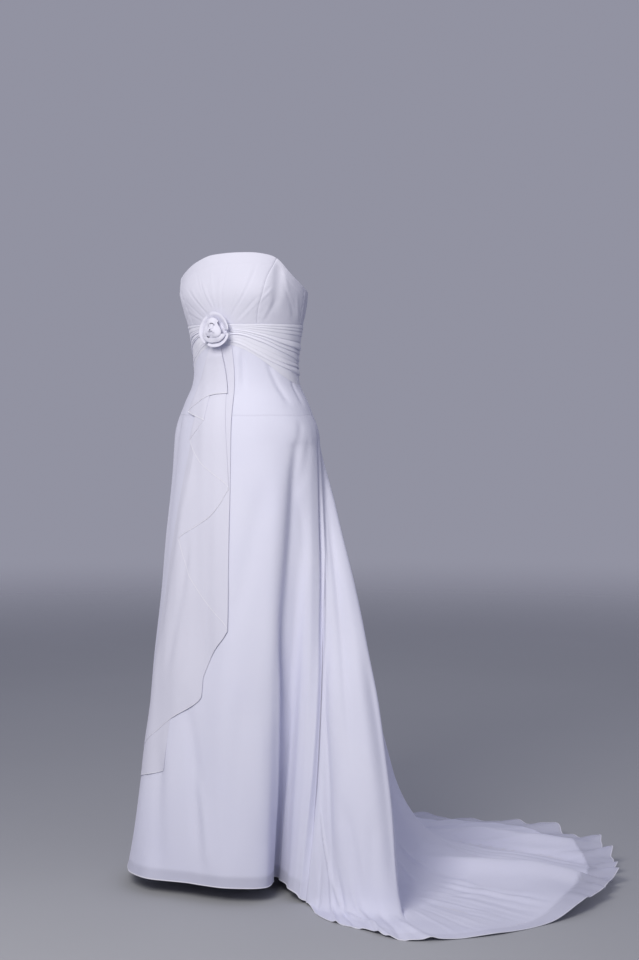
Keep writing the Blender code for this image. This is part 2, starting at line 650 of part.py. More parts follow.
def add_rose(collection, material):
    """The fabric rose: a round base on the midriff, and petals that wind out from the bud. The
    base is flat in front and follows the figure behind."""
    square = np.linspace(-1.0, 1.0, 9)
    across, upward = np.meshgrid(square, square)
    x = ROSE_X + ROSE_BASE_RADIUS * across * np.sqrt(1 - upward**2 / 2)
    height = ROSE_HEIGHT + ROSE_BASE_RADIUS * upward * np.sqrt(1 - across**2 / 2)
    back = on_torso(x, height)
    back[..., 1] -= ROSE_LIFT
    front = back.copy()
    front[..., 1] = back[..., 1].min() - ROSE_BASE_DEPTH
    add_cloth("rose_base", front, back, material, collection)

    face = front[0, 0, 1] - SEAM_GAP
    for name, (turn, spread, root, lip, rise, flare) in PETALS.items():
        columns = PETAL_POINTS if spread < 300 else 2 * PETAL_POINTS
        even = np.linspace(-1.0, 1.0, columns)
        around = np.radians(turn + spread * even / 2)
        out = np.linspace(0.0, 1.0, PETAL_ROWS)[:, None]
        wind = PETAL_WIND * (even + 1) / 2
        radius = root + (lip - root) * out**0.8 + flare * out**4 + wind * out
        depth = PETAL_WALL / 2 + (rise * (1 - PETAL_CROWN * even**4) - flare * out**3) * out
        middle = np.stack([
            ROSE_X + radius * np.cos(around),
            face - depth,
            ROSE_HEIGHT - UNDERBUST + radius * np.sin(around),
        ], axis=-1)
        wall = PETAL_WALL / 2 * grid_normals(middle)
        add_cloth("rose_" + name, middle + wall, middle - wall, material, collection)


def adopt(name, material, collection):
    """Names the object just added and moves it into the collection, with its material."""
    made = bpy.context.object
    made.name = name
    made.data.name = name
    made.data.materials.append(material)
    for holder in list(made.users_collection):
        holder.objects.unlink(made)
    collection.objects.link(made)
    return made


def add_box(name, centre, size, material, collection):
    """A box, its scale applied."""
    bpy.ops.mesh.primitive_cube_add(size=1.0, location=centre)
    made = adopt(name, material, collection)
    made.data.transform(mathutils.Matrix.Diagonal((*size, 1.0)))
    return made


def add_bar(name, centre, radius, width, material, collection):
    """A round bar along X."""
    bpy.ops.mesh.primitive_cylinder_add(
        vertices=ROUND_SIDES, radius=radius, depth=width, location=centre,
        rotation=(0.0, np.pi / 2, 0.0),
    )
    return adopt(name, material, collection)


def combine(target, tool, operation):
    """Adds a tool to a target, or cuts it out, with a Boolean."""
    change = target.modifiers.new(tool.name, "BOOLEAN")
    change.operation = operation
    change.object = tool
    tool.hide_render = True
    tool.display_type = "WIRE"


def add_zip(collection, cutters, material):
    """The zip's slider, flat against the centre back, and the pull that hangs from its pin. The
    pull's origin is on the pin's axis."""
    cloth = max(
        float(torso(CENTRE_BACK_ANGLE, ZIP_HEIGHT + side * SLIDER_LENGTH / 2)[1])
        for side in (-1, 0, 1)
    )
    seat = cloth + SEAM_GAP
    centre = ZIP_HEIGHT - UNDERBUST
    axis = seat + SLIDER_DEPTH + PIN_STAND
    slider = add_box("zip_slider", (0.0, seat + SLIDER_DEPTH / 2, centre),
                     (SLIDER_WIDTH, SLIDER_DEPTH, SLIDER_LENGTH), material, collection)
    ear_depth = PIN_STAND + PIN_RADIUS + EAR_RIM
    ear_x = EYE_WIDTH / 2 + EAR_GAP + EAR_WIDTH / 2
    for name, side in (("ear_left", 1), ("ear_right", -1)):
        middle = (side * ear_x, axis + PIN_RADIUS + EAR_RIM - ear_depth / 2 - SEAM_GAP, centre)
        ear = add_box(name, middle, (EAR_WIDTH, ear_depth + SEAM_GAP, EAR_LENGTH),
                      material, cutters)
        combine(slider, ear, "UNION")
    pin = add_bar("pin", (0.0, axis, centre), PIN_RADIUS, 2 * ear_x, material, cutters)
    combine(slider, pin, "UNION")

    pull = add_bar("zip_pull", (0.0, axis, centre), EYE_RADIUS, EYE_WIDTH, material, collection)
    neck = add_box("pull_neck", (0.0, axis, centre - PULL_NECK / 2),
                   (EYE_WIDTH, PULL_DEPTH, PULL_NECK), material, cutters)
    combine(pull, neck, "UNION")
    tab_length = PULL_LENGTH - PULL_NECK + PULL_BEVEL
    tab = add_box("pull_tab", (0.0, axis, centre - PULL_LENGTH + tab_length / 2),
                  (PULL_WIDTH, PULL_DEPTH, tab_length), material, cutters)
    rounded = tab.modifiers.new("rounded", "BEVEL")
    rounded.width = PULL_BEVEL
    rounded.segments = 2
    combine(pull, tab, "UNION")
    bore = add_bar("pull_bore", (0.0, axis, centre), EYE_BORE, 2 * EYE_WIDTH, material, cutters)
    combine(pull, bore, "DIFFERENCE")


def main():
    """Builds the gown."""
    clear_scene()
    gown = make_collection("bridesmaid_gown")
    cutters = make_collection("cutters")
    chiffon = make_material("chiffon", CLOTH_COLOUR, CLOTH_ROUGHNESS)
    satin = make_material("lining_satin", LINING_COLOUR, SATIN_ROUGHNESS)
    petals = make_material("rose_cloth", ROSE_COLOUR, CLOTH_ROUGHNESS)
    metal = make_material("zip_metal", METAL_COLOUR, METAL_ROUGHNESS, 0.9)
    add_bodice(gown, chiffon)
    add_midriff(gown, chiffon)
    add_skirt(gown, chiffon, satin)
    add_waterfall(gown, chiffon)
    add_rose(gown, petals)
    add_zip(gown, cutters, metal)


main()
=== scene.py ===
"""A strapless bridesmaid gown in pale lavender chiffon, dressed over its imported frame.

Metres, +Z up. The wearer faces -Y, and +X is the wearer's left. The origin is at the underbust
seam, where the bodice grips the wearer. Angles are in degrees round the body, from the centre
front towards the wearer's left, and heights in tables are above the floor. A place on the skirt
is a station, which is a row of its fold table or a fraction between two, and a share: 0 at the
waist seam, 1 at the hip and 2 at the hem.
"""

import logging
from dataclasses import dataclass
from enum import Enum
from typing import Callable, NamedTuple, Sequence

import bpy
import numpy as np
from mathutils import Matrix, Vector


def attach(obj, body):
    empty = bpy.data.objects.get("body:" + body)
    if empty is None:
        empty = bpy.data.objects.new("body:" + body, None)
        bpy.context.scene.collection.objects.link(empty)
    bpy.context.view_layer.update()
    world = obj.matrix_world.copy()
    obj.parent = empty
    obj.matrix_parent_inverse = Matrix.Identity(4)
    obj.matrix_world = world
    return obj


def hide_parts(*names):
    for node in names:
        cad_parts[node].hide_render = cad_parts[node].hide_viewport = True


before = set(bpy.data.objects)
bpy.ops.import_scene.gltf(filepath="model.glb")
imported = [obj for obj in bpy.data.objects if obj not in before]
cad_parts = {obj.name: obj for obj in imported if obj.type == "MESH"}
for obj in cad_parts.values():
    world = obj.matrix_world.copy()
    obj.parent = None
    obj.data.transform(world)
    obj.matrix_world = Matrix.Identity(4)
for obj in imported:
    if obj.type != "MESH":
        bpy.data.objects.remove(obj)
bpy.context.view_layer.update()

LOG = logging.getLogger("gown")

Grid = np.ndarray
Colour = tuple[float, float, float]
Pairs = tuple[tuple[float, float], ...]

# Heights above the floor
UNDERBUST = 1.212
HIP = 0.950
FLOOR = -UNDERBUST

# Half the gap between two pieces at a seam, and half the thickness left at a closed edge
SEAM = 0.00015
THIN = 0.00005

# How far a crease goes past its ends, and over what shares it fades in and out
PAST_END, FADE_IN, FADE_OUT = 0.05, 0.28, 0.34

# The body that all the cloth rides on
GOWN = "gown"


class Slot(Enum):
    """The gown's material slots."""

    CHIFFON = "chiffon"
    LINING = "lining"
    ROSE = "rose"
    ZIP = "zip"


class Hold(Enum):
    """How a sheet of cloth is held."""

    HUNG = "hung"
    GATHERED = "gathered"
    STRETCHED = "stretched"


def unit(vectors: Grid) -> Grid:
    """Each vector divided by its length."""
    return vectors / np.maximum(np.linalg.norm(vectors, axis=-1, keepdims=True), 1e-12)


def smooth(x: Grid | float, start: float = 0.0, width: float = 1.0) -> Grid:
    """0 up to start, 1 from start + width on, and 3f^2 - 2f^3 between, f the share of the way."""
    f = np.clip((x - start) / width, 0.0, 1.0)
    return f * f * (3 - 2 * f)


def mix(a: Grid | float, b: Grid | float, f: Grid | float) -> Grid:
    """From a at f = 0 to b at f = 1: a + (b - a) f."""
    return a + (b - a) * f


def rounded(x: Grid) -> Grid:
    """A quarter of a circle: 0 at 0, 1 from 1 on, and sqrt(1 - (1 - x)^2) between."""
    return np.sqrt(1 - np.clip(1 - x, 0, 1) ** 2)


def hump(x: Grid, width: Grid | float) -> Grid:
    """A bell about 0: exp(-(x / width)^2)."""
    return np.exp(-((x / width) ** 2))


def through_rows(x: Grid | float, knots: Grid, values: Grid) -> Grid:
    """A smooth curve through table rows, made of cubic Hermite pieces.

    Args:
        x: Where to read the curve.
        knots: The rows' places, in any order.
        values: The rows' values. The slope at each is that of its neighbours.

    Returns:
        The curve at x, and its end values beyond the table.
    """
    order = np.argsort(knots)
    knots, values = knots[order], values[order]
    slopes = np.gradient(values, knots)
    x = np.clip(x, knots[0], knots[-1])
    i = np.clip(np.searchsorted(knots, x) - 1, 0, len(knots) - 2)
    width = knots[i + 1] - knots[i]
    f = (x - knots[i]) / width
    return (
        (2 * f**3 - 3 * f**2 + 1) * values[i]
        + (f**3 - 2 * f**2 + f) * width * slopes[i]
        + (3 * f**2 - 2 * f**3) * values[i + 1]
        + (f**3 - f**2) * width * slopes[i + 1]
    )


def through_pairs(x: Grid | float, pairs: Pairs) -> Grid:
    """The smooth curve through pairs of a place and a value."""
    knots, values = np.array(pairs, float).T
    return through_rows(x, knots, values)


def catmull_rom(before: Grid, a: Grid, b: Grid, after: Grid, f: Grid) -> Grid:
    """The Catmull-Rom cubic from a at f = 0 to b at f = 1."""
    return 0.5 * (
        2 * a
        + (b - before) * f
        + (2 * before - 5 * a + 4 * b - after) * f**2
        + (3 * a - before - 3 * b + after) * f**3
    )


def signed(angle: Grid | float) -> Grid:
    """The angle from the centre front, from -180 to 180."""
    return (np.asarray(angle, float) + 180.0) % 360.0 - 180.0


def from_front(angle: Grid | float) -> Grid:
    """The angle from the centre front, 0 to 180, on either side."""
    return np.abs(signed(angle))


def slope_normals(
    surface: Callable[[Grid, Grid], Grid], across: Grid, upward: Grid, steps: tuple[float, float]
) -> Grid:
    """Outward unit normals of a surface by central differences: across x upward.

    Args:
        surface: Gives points for two parameters.
        across: The first parameter, which grows towards the wearer's left.
        upward: The second parameter.
        steps: Steps of both. The second is negative where its parameter grows downwards.

    Returns:
        The normals, in the grid's shape.
    """
    d_across = surface(across + steps[0], upward) - surface(across - steps[0], upward)
    d_upward = surface(across, upward + steps[1]) - surface(across, upward - steps[1])
    return unit(np.cross(d_across, d_upward))


def grid_normals(points: Grid) -> Grid:
    """Outward unit normals of a grid of rows going up and columns going left."""
    return unit(np.cross(np.gradient(points, axis=1), np.gradient(points, axis=0)))


def stepped(first: float, last: float, count: int, ends: Sequence[float]) -> Grid:
    """Even steps from first to last, with closer ones by both ends.

    Args:
        first: Start value.
        last: End value.
        count: Number of even steps.
        ends: Distances from either end at which extra values lie, in the values' units.

    Returns:
        The values in order.
    """
    even = np.linspace(first, last, count + 1)[1:-1]
    near = np.asarray(ends)
    spared = 1.3 * near.max()
    even = even[(even > first + spared) & (even < last - spared)]
    return np.concatenate([first + near, even, (last - near)[::-1]])


class Crease(NamedTuple):
    """A trough, or a ridge where the depth is positive, laid between two places."""

    across: float
    along: float
    end_across: float
    end_along: float
    bow: float
    width: float
    end_width: float
    depth: float


def creases_of(rows: Sequence[tuple[float, ...]]) -> tuple[Crease, ...]:
    """Creases from table rows, whose bow, widths and depth are in millimetres."""
    return tuple(Crease(*row[:4], *(size / 1000 for size in row[4:])) for row in rows)


def crease_relief(
    creases: Sequence[Crease], across: Grid, along: Grid, metres: tuple[Grid, Grid]
) -> Grid:
    """Height of a set of creases: each is depth x bell(distance from its line / width), and
    fades in and out along the line, which is a chord bowed by 4f(1 - f).

    Args:
        creases: The creases.
        across: Grid of the first parameter.
        along: Grid of the second parameter.
        metres: Metres for one unit of either parameter, at each point.

    Returns:
        Height above the plain surface, in metres.
    """
    relief = np.zeros_like(across)
    for crease in creases:
        run_across = crease.end_across - crease.across
        run_along = crease.end_along - crease.along
        away_across = (across - crease.across) * metres[0]
        away_along = (along - crease.along) * metres[1]
        chord_across = run_across * metres[0]
        chord_along = run_along * metres[1]
        length = np.hypot(chord_across, chord_along)
        f = (away_across * chord_across + away_along * chord_along) / length**2
        aside = (away_across * chord_along - away_along * chord_across) / length
        inside = np.clip(f, 0.0, 1.0)
        aside = aside - crease.bow * 4 * inside * (1 - inside)
        width = mix(crease.width, crease.end_width, inside)
        fade = smooth((f + PAST_END) / FADE_IN) * smooth((1 + PAST_END - f) / FADE_OUT)
        relief += crease.depth * hump(aside, width) * fade
    return relief


class Wave(NamedTuple):
    """One sine of an uneven flutter: waves per unit, phase in turns, share of the height."""

    waves: float
    phase: float
    share: float


def flutter(x: Grid, waves: Sequence[Wave]) -> Grid:
    """A sum of sines, share x sin(2 pi (waves x + phase)), whose shares add up to about 1."""
    return sum(wave.share * np.sin(2 * np.pi * (wave.waves * x + wave.phase)) for wave in waves)


class Swell(NamedTuple):
    """A slow wave of loose cloth: waves in a metre along x, y and z, phase in turns, height."""

    x: float
    y: float
    z: float
    phase: float
    height: float


def swells(points: Grid, waves: Sequence[Swell]) -> Grid:
    """Sum of waves through space at the points: height x sin(2 pi (waves . point + phase))."""
    total = np.zeros(points.shape[:-1])
    for wave in waves:
        total += wave.height * np.sin(2 * np.pi * (points @ np.array(wave[:3]) + wave.phase))
    return total


class Ring(NamedTuple):
    """One level of the figure under the cloth."""

    height: float
    half_width: float
    front_depth: float
    back_depth: float


@dataclass(frozen=True)
class Figure:
    """The fitted form under the bodice and midriff: rings, bust cups, and seam lines."""

    rings: tuple[Ring, ...] = tuple(Ring(*row) for row in (
        (1.4, 0.14, 0.1, 0.086),
        (1.366, 0.145, 0.11, 0.092),
        (1.32, 0.147, 0.12, 0.096),
        (1.275, 0.147, 0.123, 0.098),
        (1.24, 0.141, 0.117, 0.097),
        (1.212, 0.135, 0.11, 0.095),
        (1.16, 0.126, 0.101, 0.091),
        (1.118, 0.1225, 0.097, 0.09),
        (1.082, 0.127, 0.099, 0.095),
        (1.04, 0.147, 0.109, 0.112),
        (1, 0.161, 0.118, 0.124),
        (0.95, 0.173, 0.128, 0.136),
        (0.9, 0.182, 0.137, 0.147),
    ))
    side_sharpness: float = 3.0
    cup_angle: float = 42.0
    cup_spread: float = 24.0
    cup_height: float = 1.283
    cup_rise: float = 0.052
    cup_fullness: float = 0.085
    neckline_points: Pairs = (
        (-180, 1.27), (-125, 1.279), (-92, 1.293), (-60, 1.3131), (-50, 1.3184), (-40, 1.3302),
        (-30, 1.3441), (-20, 1.3541), (-10, 1.3619), (0, 1.3648), (20, 1.367), (38, 1.365),
        (54.5, 1.354), (70, 1.322), (92, 1.293), (125, 1.279), (180, 1.27),
    )
    princess_points: Pairs = (
        (1.212, 37.4), (1.241, 37.9), (1.271, 40.3), (1.31, 44.5), (1.354, 54.5),
    )
    waist_seam_height: float = 1.082
    waist_seam_rise: float = 0.088
    waist_seam_level: float = 100.0
    steps: tuple[float, float] = (0.2, 0.0005)

    def point(self, angle: Grid | float, height: Grid | float) -> Grid:
        """The cloth's outer surface: an ellipse at each height, whose depth goes from the
        front's to the back's by tanh(k cos(angle)), swollen by a bell at either bust cup.

        Args:
            angle: Degrees round the body.
            height: Height above the floor.

        Returns:
            Points, in metres.
        """
        angle, height = np.broadcast_arrays(np.asarray(angle, float), np.asarray(height, float))
        turn = np.radians(angle)
        table = np.array(self.rings)
        wide, front, back = (through_rows(height, table[:, 0], table[:, k]) for k in (1, 2, 3))
        deep = back + (front - back) * 0.5 * (1 + np.tanh(self.side_sharpness * np.cos(turn)))
        across = (from_front(angle) - self.cup_angle) / self.cup_spread
        upward = (height - self.cup_height) / self.cup_rise
        cup = 1 + self.cup_fullness * np.exp(-(across**2) - upward**2)
        return np.stack(
            [wide * np.sin(turn) * cup, -deep * np.cos(turn) * cup, height - UNDERBUST], axis=-1
        )

    def facing(self, angle: Grid, height: Grid) -> Grid:
        """Outward unit normals of the fitted cloth."""
        return slope_normals(self.point, angle, height, self.steps)

    def neckline(self, angle: Grid | float) -> Grid:
        """Height of the bodice's top edge at an angle. It dips further on the wearer's right."""
        return through_pairs(signed(angle), self.neckline_points)

    def princess(self, height: Grid | float) -> Grid:
        """Angle of the princess seam on the wearer's left at a height."""
        return through_pairs(height, self.princess_points)

    def waist_seam(self, angle: Grid | float) -> Grid:
        """Height of the seam between midriff and skirt: cos^2 of the angle, with its peak under
        the rose and level round the back."""
        lean = 90.0 * np.minimum(from_front(angle) / self.waist_seam_level, 1.0)
        return self.waist_seam_height + self.waist_seam_rise * np.cos(np.radians(lean)) ** 2

    def metres(self, angle: Grid) -> tuple[Grid, Grid]:
        """Metres for a degree round the body, and for a metre of height."""
        radius = self.rings[3].half_width
        return np.full_like(angle, np.radians(1.0) * radius), np.ones_like(angle)

    def angle_at(self, x: Grid, height: Grid) -> Grid:
        """The angle on the front at which the figure has a given x: it is corrected by the
        error in x until it fits."""
        angle = np.zeros_like(x)
        for _ in range(8):
            angle += np.degrees((x - self.point(angle, height)[..., 0]) / self.rings[0].half_width)
        return angle


class Fold(NamedTuple):
    """A crest or hollow of the skirt. Its cloth falls from the waist at an angle to its foot on
    the floor, and runs on to the hem. Bulge is half-way down, bend is the length of the turn at
    the foot, ridge the rise along the floor, hem the height of the edge, and border the width of
    sheer cloth below the lining."""

    name: str
    angle: float
    foot_x: float
    foot_y: float
    hem_x: float
    hem_y: float
    bulge: float
    bend: float
    ridge: float
    hem: float
    border: float


SKIRT_FOLDS = tuple(Fold(*row) for row in (
    ("right_side_seam", -90, -0.232, 0.03, -0.232, 0.03, 0.004, 0.01, 0, 0.03, 0.026),
    ("right_crest", -64, -0.226, -0.1, -0.226, -0.1, -0.007, 0.01, 0, 0.03, 0.026),
    ("right_front", -42, -0.166, -0.215, -0.166, -0.215, -0.009, 0.01, 0, 0.03, 0.026),
    ("front_crest", -22, -0.082, -0.256, -0.082, -0.256, -0.006, 0.01, 0, 0.03, 0.026),
    ("front_hollow", 0, 0.01, -0.243, 0.01, -0.243, -0.004, 0.01, 0, 0.031, 0.026),
    ("middle_crest", 22, 0.092, -0.241, 0.092, -0.241, 0.002, 0.01, 0, 0.031, 0.026),
    ("broad_crest", 46, 0.17, -0.19, 0.17, -0.19, 0.006, 0.01, 0, 0.03, 0.026),
    ("deep_hollow", 70, 0.138, -0.108, 0.138, -0.108, 0.018, 0.01, 0, 0.026, 0.028),
    ("side_crest", 87, 0.214, -0.148, 0.214, -0.148, 0.016, 0.01, 0, 0.018, 0.032),
    ("left_side_seam", 100, 0.243, -0.16, 0.243, -0.16, 0.024, 0.014, 0, 0.006, 0.05),
    ("near_edge", 107, 0.305, -0.172, 0.338, -0.235, 0.012, 0.03, 0, 0.003, 0.08),
    ("near_face", 114, 0.375, -0.185, 0.444, -0.261, 0.01, 0.04, 0.004, 0.003, 0.05),
    ("near_crest", 121, 0.466, -0.147, 0.551, -0.278, 0.028, 0.044, 0.006, 0.003, 0.032),
    ("near_back", 128, 0.315, -0.015, 0.668, -0.174, 0.004, 0.08, 0.002, 0.003, 0.03),
    ("valley", 137, 0.305, 0.07, 0.738, -0.041, 0, 0.14, 0, 0.003, 0.034),
    ("valley_back", 147, 0.29, 0.15, 0.771, 0.07, -0.006, 0.16, 0.01, 0.024, 0.052),
    ("ridge", 158, 0.285, 0.25, 0.777, 0.186, 0, 0.19, 0.034, 0.008, 0.074),
    ("ridge_back", 169, 0.235, 0.365, 0.76, 0.302, 0.006, 0.21, 0.018, 0.012, 0.078),
    ("centre_back", 180, 0.19, 0.405, 0.721, 0.404, 0.006, 0.21, 0.008, 0.004, 0.072),
    ("right_valley", 191, 0.14, 0.37, 0.658, 0.508, -0.004, 0.2, 0, 0.024, 0.07),
    ("right_ridge", 202, 0.085, 0.43, 0.555, 0.606, 0.006, 0.2, 0.02, 0.004, 0.064),
    ("back_valley", 213, 0.01, 0.365, 0.424, 0.662, -0.004, 0.18, 0, 0.018, 0.058),
    ("back_ridge", 224, -0.05, 0.39, 0.265, 0.661, 0.004, 0.16, 0.014, 0.004, 0.05),
    ("far_valley", 236, -0.115, 0.3, 0.107, 0.628, -0.004, 0.13, 0, 0.01, 0.042),
    ("far_crest", 248, -0.185, 0.27, -0.075, 0.519, 0.006, 0.09, 0, 0.003, 0.034),
    ("far_side", 259, -0.205, 0.15, -0.21, 0.277, 0, 0.04, 0, 0.016, 0.028),
))
FOLD_NAMES = [fold.name for fold in SKIRT_FOLDS]
FOLD_COUNT = len(SKIRT_FOLDS)
RIGHT_SEAM = FOLD_NAMES.index("right_side_seam")
CENTRE_FRONT = FOLD_NAMES.index("front_hollow")
LEFT_SEAM = FOLD_NAMES.index("left_side_seam")
CENTRE_BACK = FOLD_NAMES.index("centre_back")

# Creases of the skirt by station and share, as the light picks them out, and like ones on the
# sides that the photograph hides. The last four columns are in millimetres
FRONT_CREASES = creases_of((
    (6.9, 0.98, 6.48, 1.55, 0, 14, 18, -8),
    (6.52, 1.36, 7.15, 2.35, 0, 11, 14, -18),
    (6.28, 1.44, 6.75, 2.3, 0, 7, 8, 3.4),
    (6.38, 1.48, 6.62, 1.84, 0, 3, 3, 2),
    (7.6, 1.18, 7.8, 2.3, 0, 14, 20, 6),
    (7.2, 0.62, 6.82, 1.12, 2, 8, 12, -2),
    (7.85, 0.95, 6.95, 1.12, 4, 10, 12, -1.6),
    (7.02, 1.12, 7.55, 1.3, 3, 8, 12, -1.4),
    (9, 0.75, 9, 2.3, 0, 5, 7, -8),
    (5.7, 1.08, 4.85, 1.45, 4, 22, 26, -4.2),
    (6.28, 1.05, 5.9, 1.6, 0, 22, 34, 3.6),
    (5.78, 1.62, 5.82, 1.9, 0, 14, 20, 2.2),
    (5.3, 1.55, 5.1, 1.98, 3, 20, 26, -3),
    (3.55, 1.58, 4.3, 1.97, 6, 12, 18, -4.8),
    (3.95, 1.74, 4.72, 2, 4, 10, 16, 3),
    (2.86, 1.7, 3.22, 2.02, 0, 16, 24, -6),
    (3.08, 1, 2.2, 1.55, 3, 14, 20, 3),
    (3.26, 1.22, 2.76, 1.56, 3, 8, 12, -3.2),
    (2.1, 1.45, 2.45, 2, 0, 18, 30, 5),
    (5.02, 0, 5.08, 0.42, 1, 5, 8, -2.6),
    (4.8, 0.02, 4.78, 0.5, 0, 5, 10, 1.6),
    (6.1, -0.05, 6.95, 0.45, 4, 7, 12, -3.2),
    (7.7, -0.05, 8.1, 0.4, 2, 5, 9, -2.2),
    (1.62, 0.6, 1.3, 1.5, 4, 14, 24, -5),
    (1.2, 1.1, 0.92, 1.96, 0, 20, 34, 6),
    (0.62, 0.9, 0.5, 1.98, 3, 14, 24, -6.2),
    (1.7, 1.5, 1.55, 2, 2, 18, 22, -4.6),
))
BACK_LEFT_CREASES = creases_of((
    (9.4, 1, 9.34, 1.92, 0, 8, 12, 3.5),
    (11.5, 1.4, 11.3, 1.9, 0, 60, 75, 12),
    (11.88, 1.4, 11.88, 1.9, 0, 28, 38, -16),
    (12.45, 1.4, 12.42, 1.88, 0, 40, 48, 15),
    (9.38, 1.76, 12.1, 2.04, -14, 4, 6, 4),
    (9.75, 1.55, 10.35, 1.86, 0, 10, 12, -3),
    (11.12, 1.15, 11.12, 1.62, 0, 6, 10, -3),
    (11.45, 1.18, 11.65, 1.8, 0, 14, 22, 4),
    (11.46, 1.72, 11.34, 1.9, 0, 14, 14, -4),
    (10.9, 1.7, 11.3, 1.92, 0, 14, 18, -4.5),
    (10.08, 1.82, 10.4, 2.1, 2, 5, 9, 4.8),
    (10.5, 1.84, 10.95, 2.1, 3, 6, 10, -5),
    (10.95, 1.84, 11.55, 2.1, 3, 6, 12, 5.2),
    (11.4, 1.87, 12.15, 2.1, 4, 7, 12, -4.6),
    (11.75, 1.89, 12.75, 2.1, 4, 7, 12, 4.6),
    (9.7, 1.85, 9.6, 2.05, 0, 6, 6, -2),
    (15.2, 1.63, 15.1, 1.76, 0, 6, 6, 3),
    (14.65, 1.66, 14.15, 1.74, 3, 5, 6, 2.5),
    (13.95, 1.76, 14.55, 1.86, 3, 6, 6, 2),
    (13.5, 1.8, 13.58, 1.96, 0, 6, 6, -2),
    (15.15, 1.74, 14.45, 1.92, 4, 7, 7, 2.2),
    (15.1, 1.7, 15.15, 1.8, 0, 8, 8, -2.5),
    (14.6, 1.75, 14.48, 1.96, 2, 6, 6, -2.2),
    (13.6, 1.78, 13.85, 1.94, 2, 5, 6, 2),
    (14.9, 1.76, 14.75, 1.96, 0, 6, 6, -2),
    (14.75, 1.75, 14.62, 1.97, 2, 5, 6, 2),
    (14.3, 1.78, 14.25, 1.97, 0, 5, 6, -1.8),
    (14.1, 1.79, 14.05, 1.98, 2, 5, 6, 1.8),
    (13.85, 1.8, 13.8, 1.97, 0, 5, 5, -1.6),
    (13.3, 1.82, 13.28, 1.97, 0, 5, 6, 1.6),
    (13.1, 1.83, 13, 1.99, 2, 5, 5, -1.6),
    (12.8, 1.84, 12.7, 1.99, 0, 5, 6, 1.6),
    (15.4, 1.68, 16.42, 2.02, -6, 26, 24, 20),
    (16.9, 1.7, 16.94, 2.02, -24, 24, 24, -20),
    (17.3, 1.6, 17.1, 1.97, 6, 10, 12, -4.6),
    (17.7, 1.7, 17.66, 2, 4, 8, 10, 4),
    (14.2, 0.8, 14.4, 1.5, 4, 14, 30, -6),
    (15.8, 0.7, 15.6, 1.55, 4, 14, 30, -7),
    (17.2, 0.8, 17.4, 1.6, 4, 14, 30, -6),
    (16.5, 1, 16.6, 1.6, 4, 16, 30, 5),
    (12.4, 0.85, 12.3, 1.45, 4, 12, 22, -4),
))
BACK_RIGHT_CREASES = creases_of((
    (19.72, 1.76, 18.1, 1.97, 0, 20, 24, -16),
    (19.95, 1.8, 19.1, 1.98, 0, 24, 24, 16),
    (18.6, 0.8, 18.5, 1.55, 4, 14, 30, -6),
    (20.1, 0.7, 19.9, 1.6, 4, 14, 30, -6.6),
    (21.6, 0.8, 21.7, 1.62, 4, 14, 26, -6),
    (19.3, 1, 19.2, 1.6, 4, 16, 30, 5),
    (22.7, 0.9, 22.6, 1.7, 4, 14, 26, 5),
    (23.6, 0.8, 23.4, 1.8, 4, 12, 24, -6),
    (24.7, 0.9, 24.6, 1.86, 4, 12, 24, -5.6),
    (25.5, 0.8, 25.5, 1.98, 4, 12, 24, 5),
    (18.4, 1.7, 18.35, 1.98, 3, 8, 10, 3.6),
    (18.8, 1.66, 18.85, 1.97, 4, 9, 10, -4.2),
    (19.4, 1.72, 19.45, 1.99, 3, 8, 8, 3.4),
    (20.3, 1.66, 20.4, 1.98, 3, 8, 10, -4.4),
    (20.8, 1.7, 20.82, 1.99, 3, 9, 10, 4),
    (21.4, 1.68, 21.45, 1.98, 4, 8, 12, 3.4),
    (22.3, 1.7, 22.35, 1.99, 4, 10, 12, -4.4),
    (23.2, 1.74, 23.1, 1.98, 3, 10, 14, 4),
    (24.1, 1.8, 24.05, 2, 3, 10, 14, -4),
))


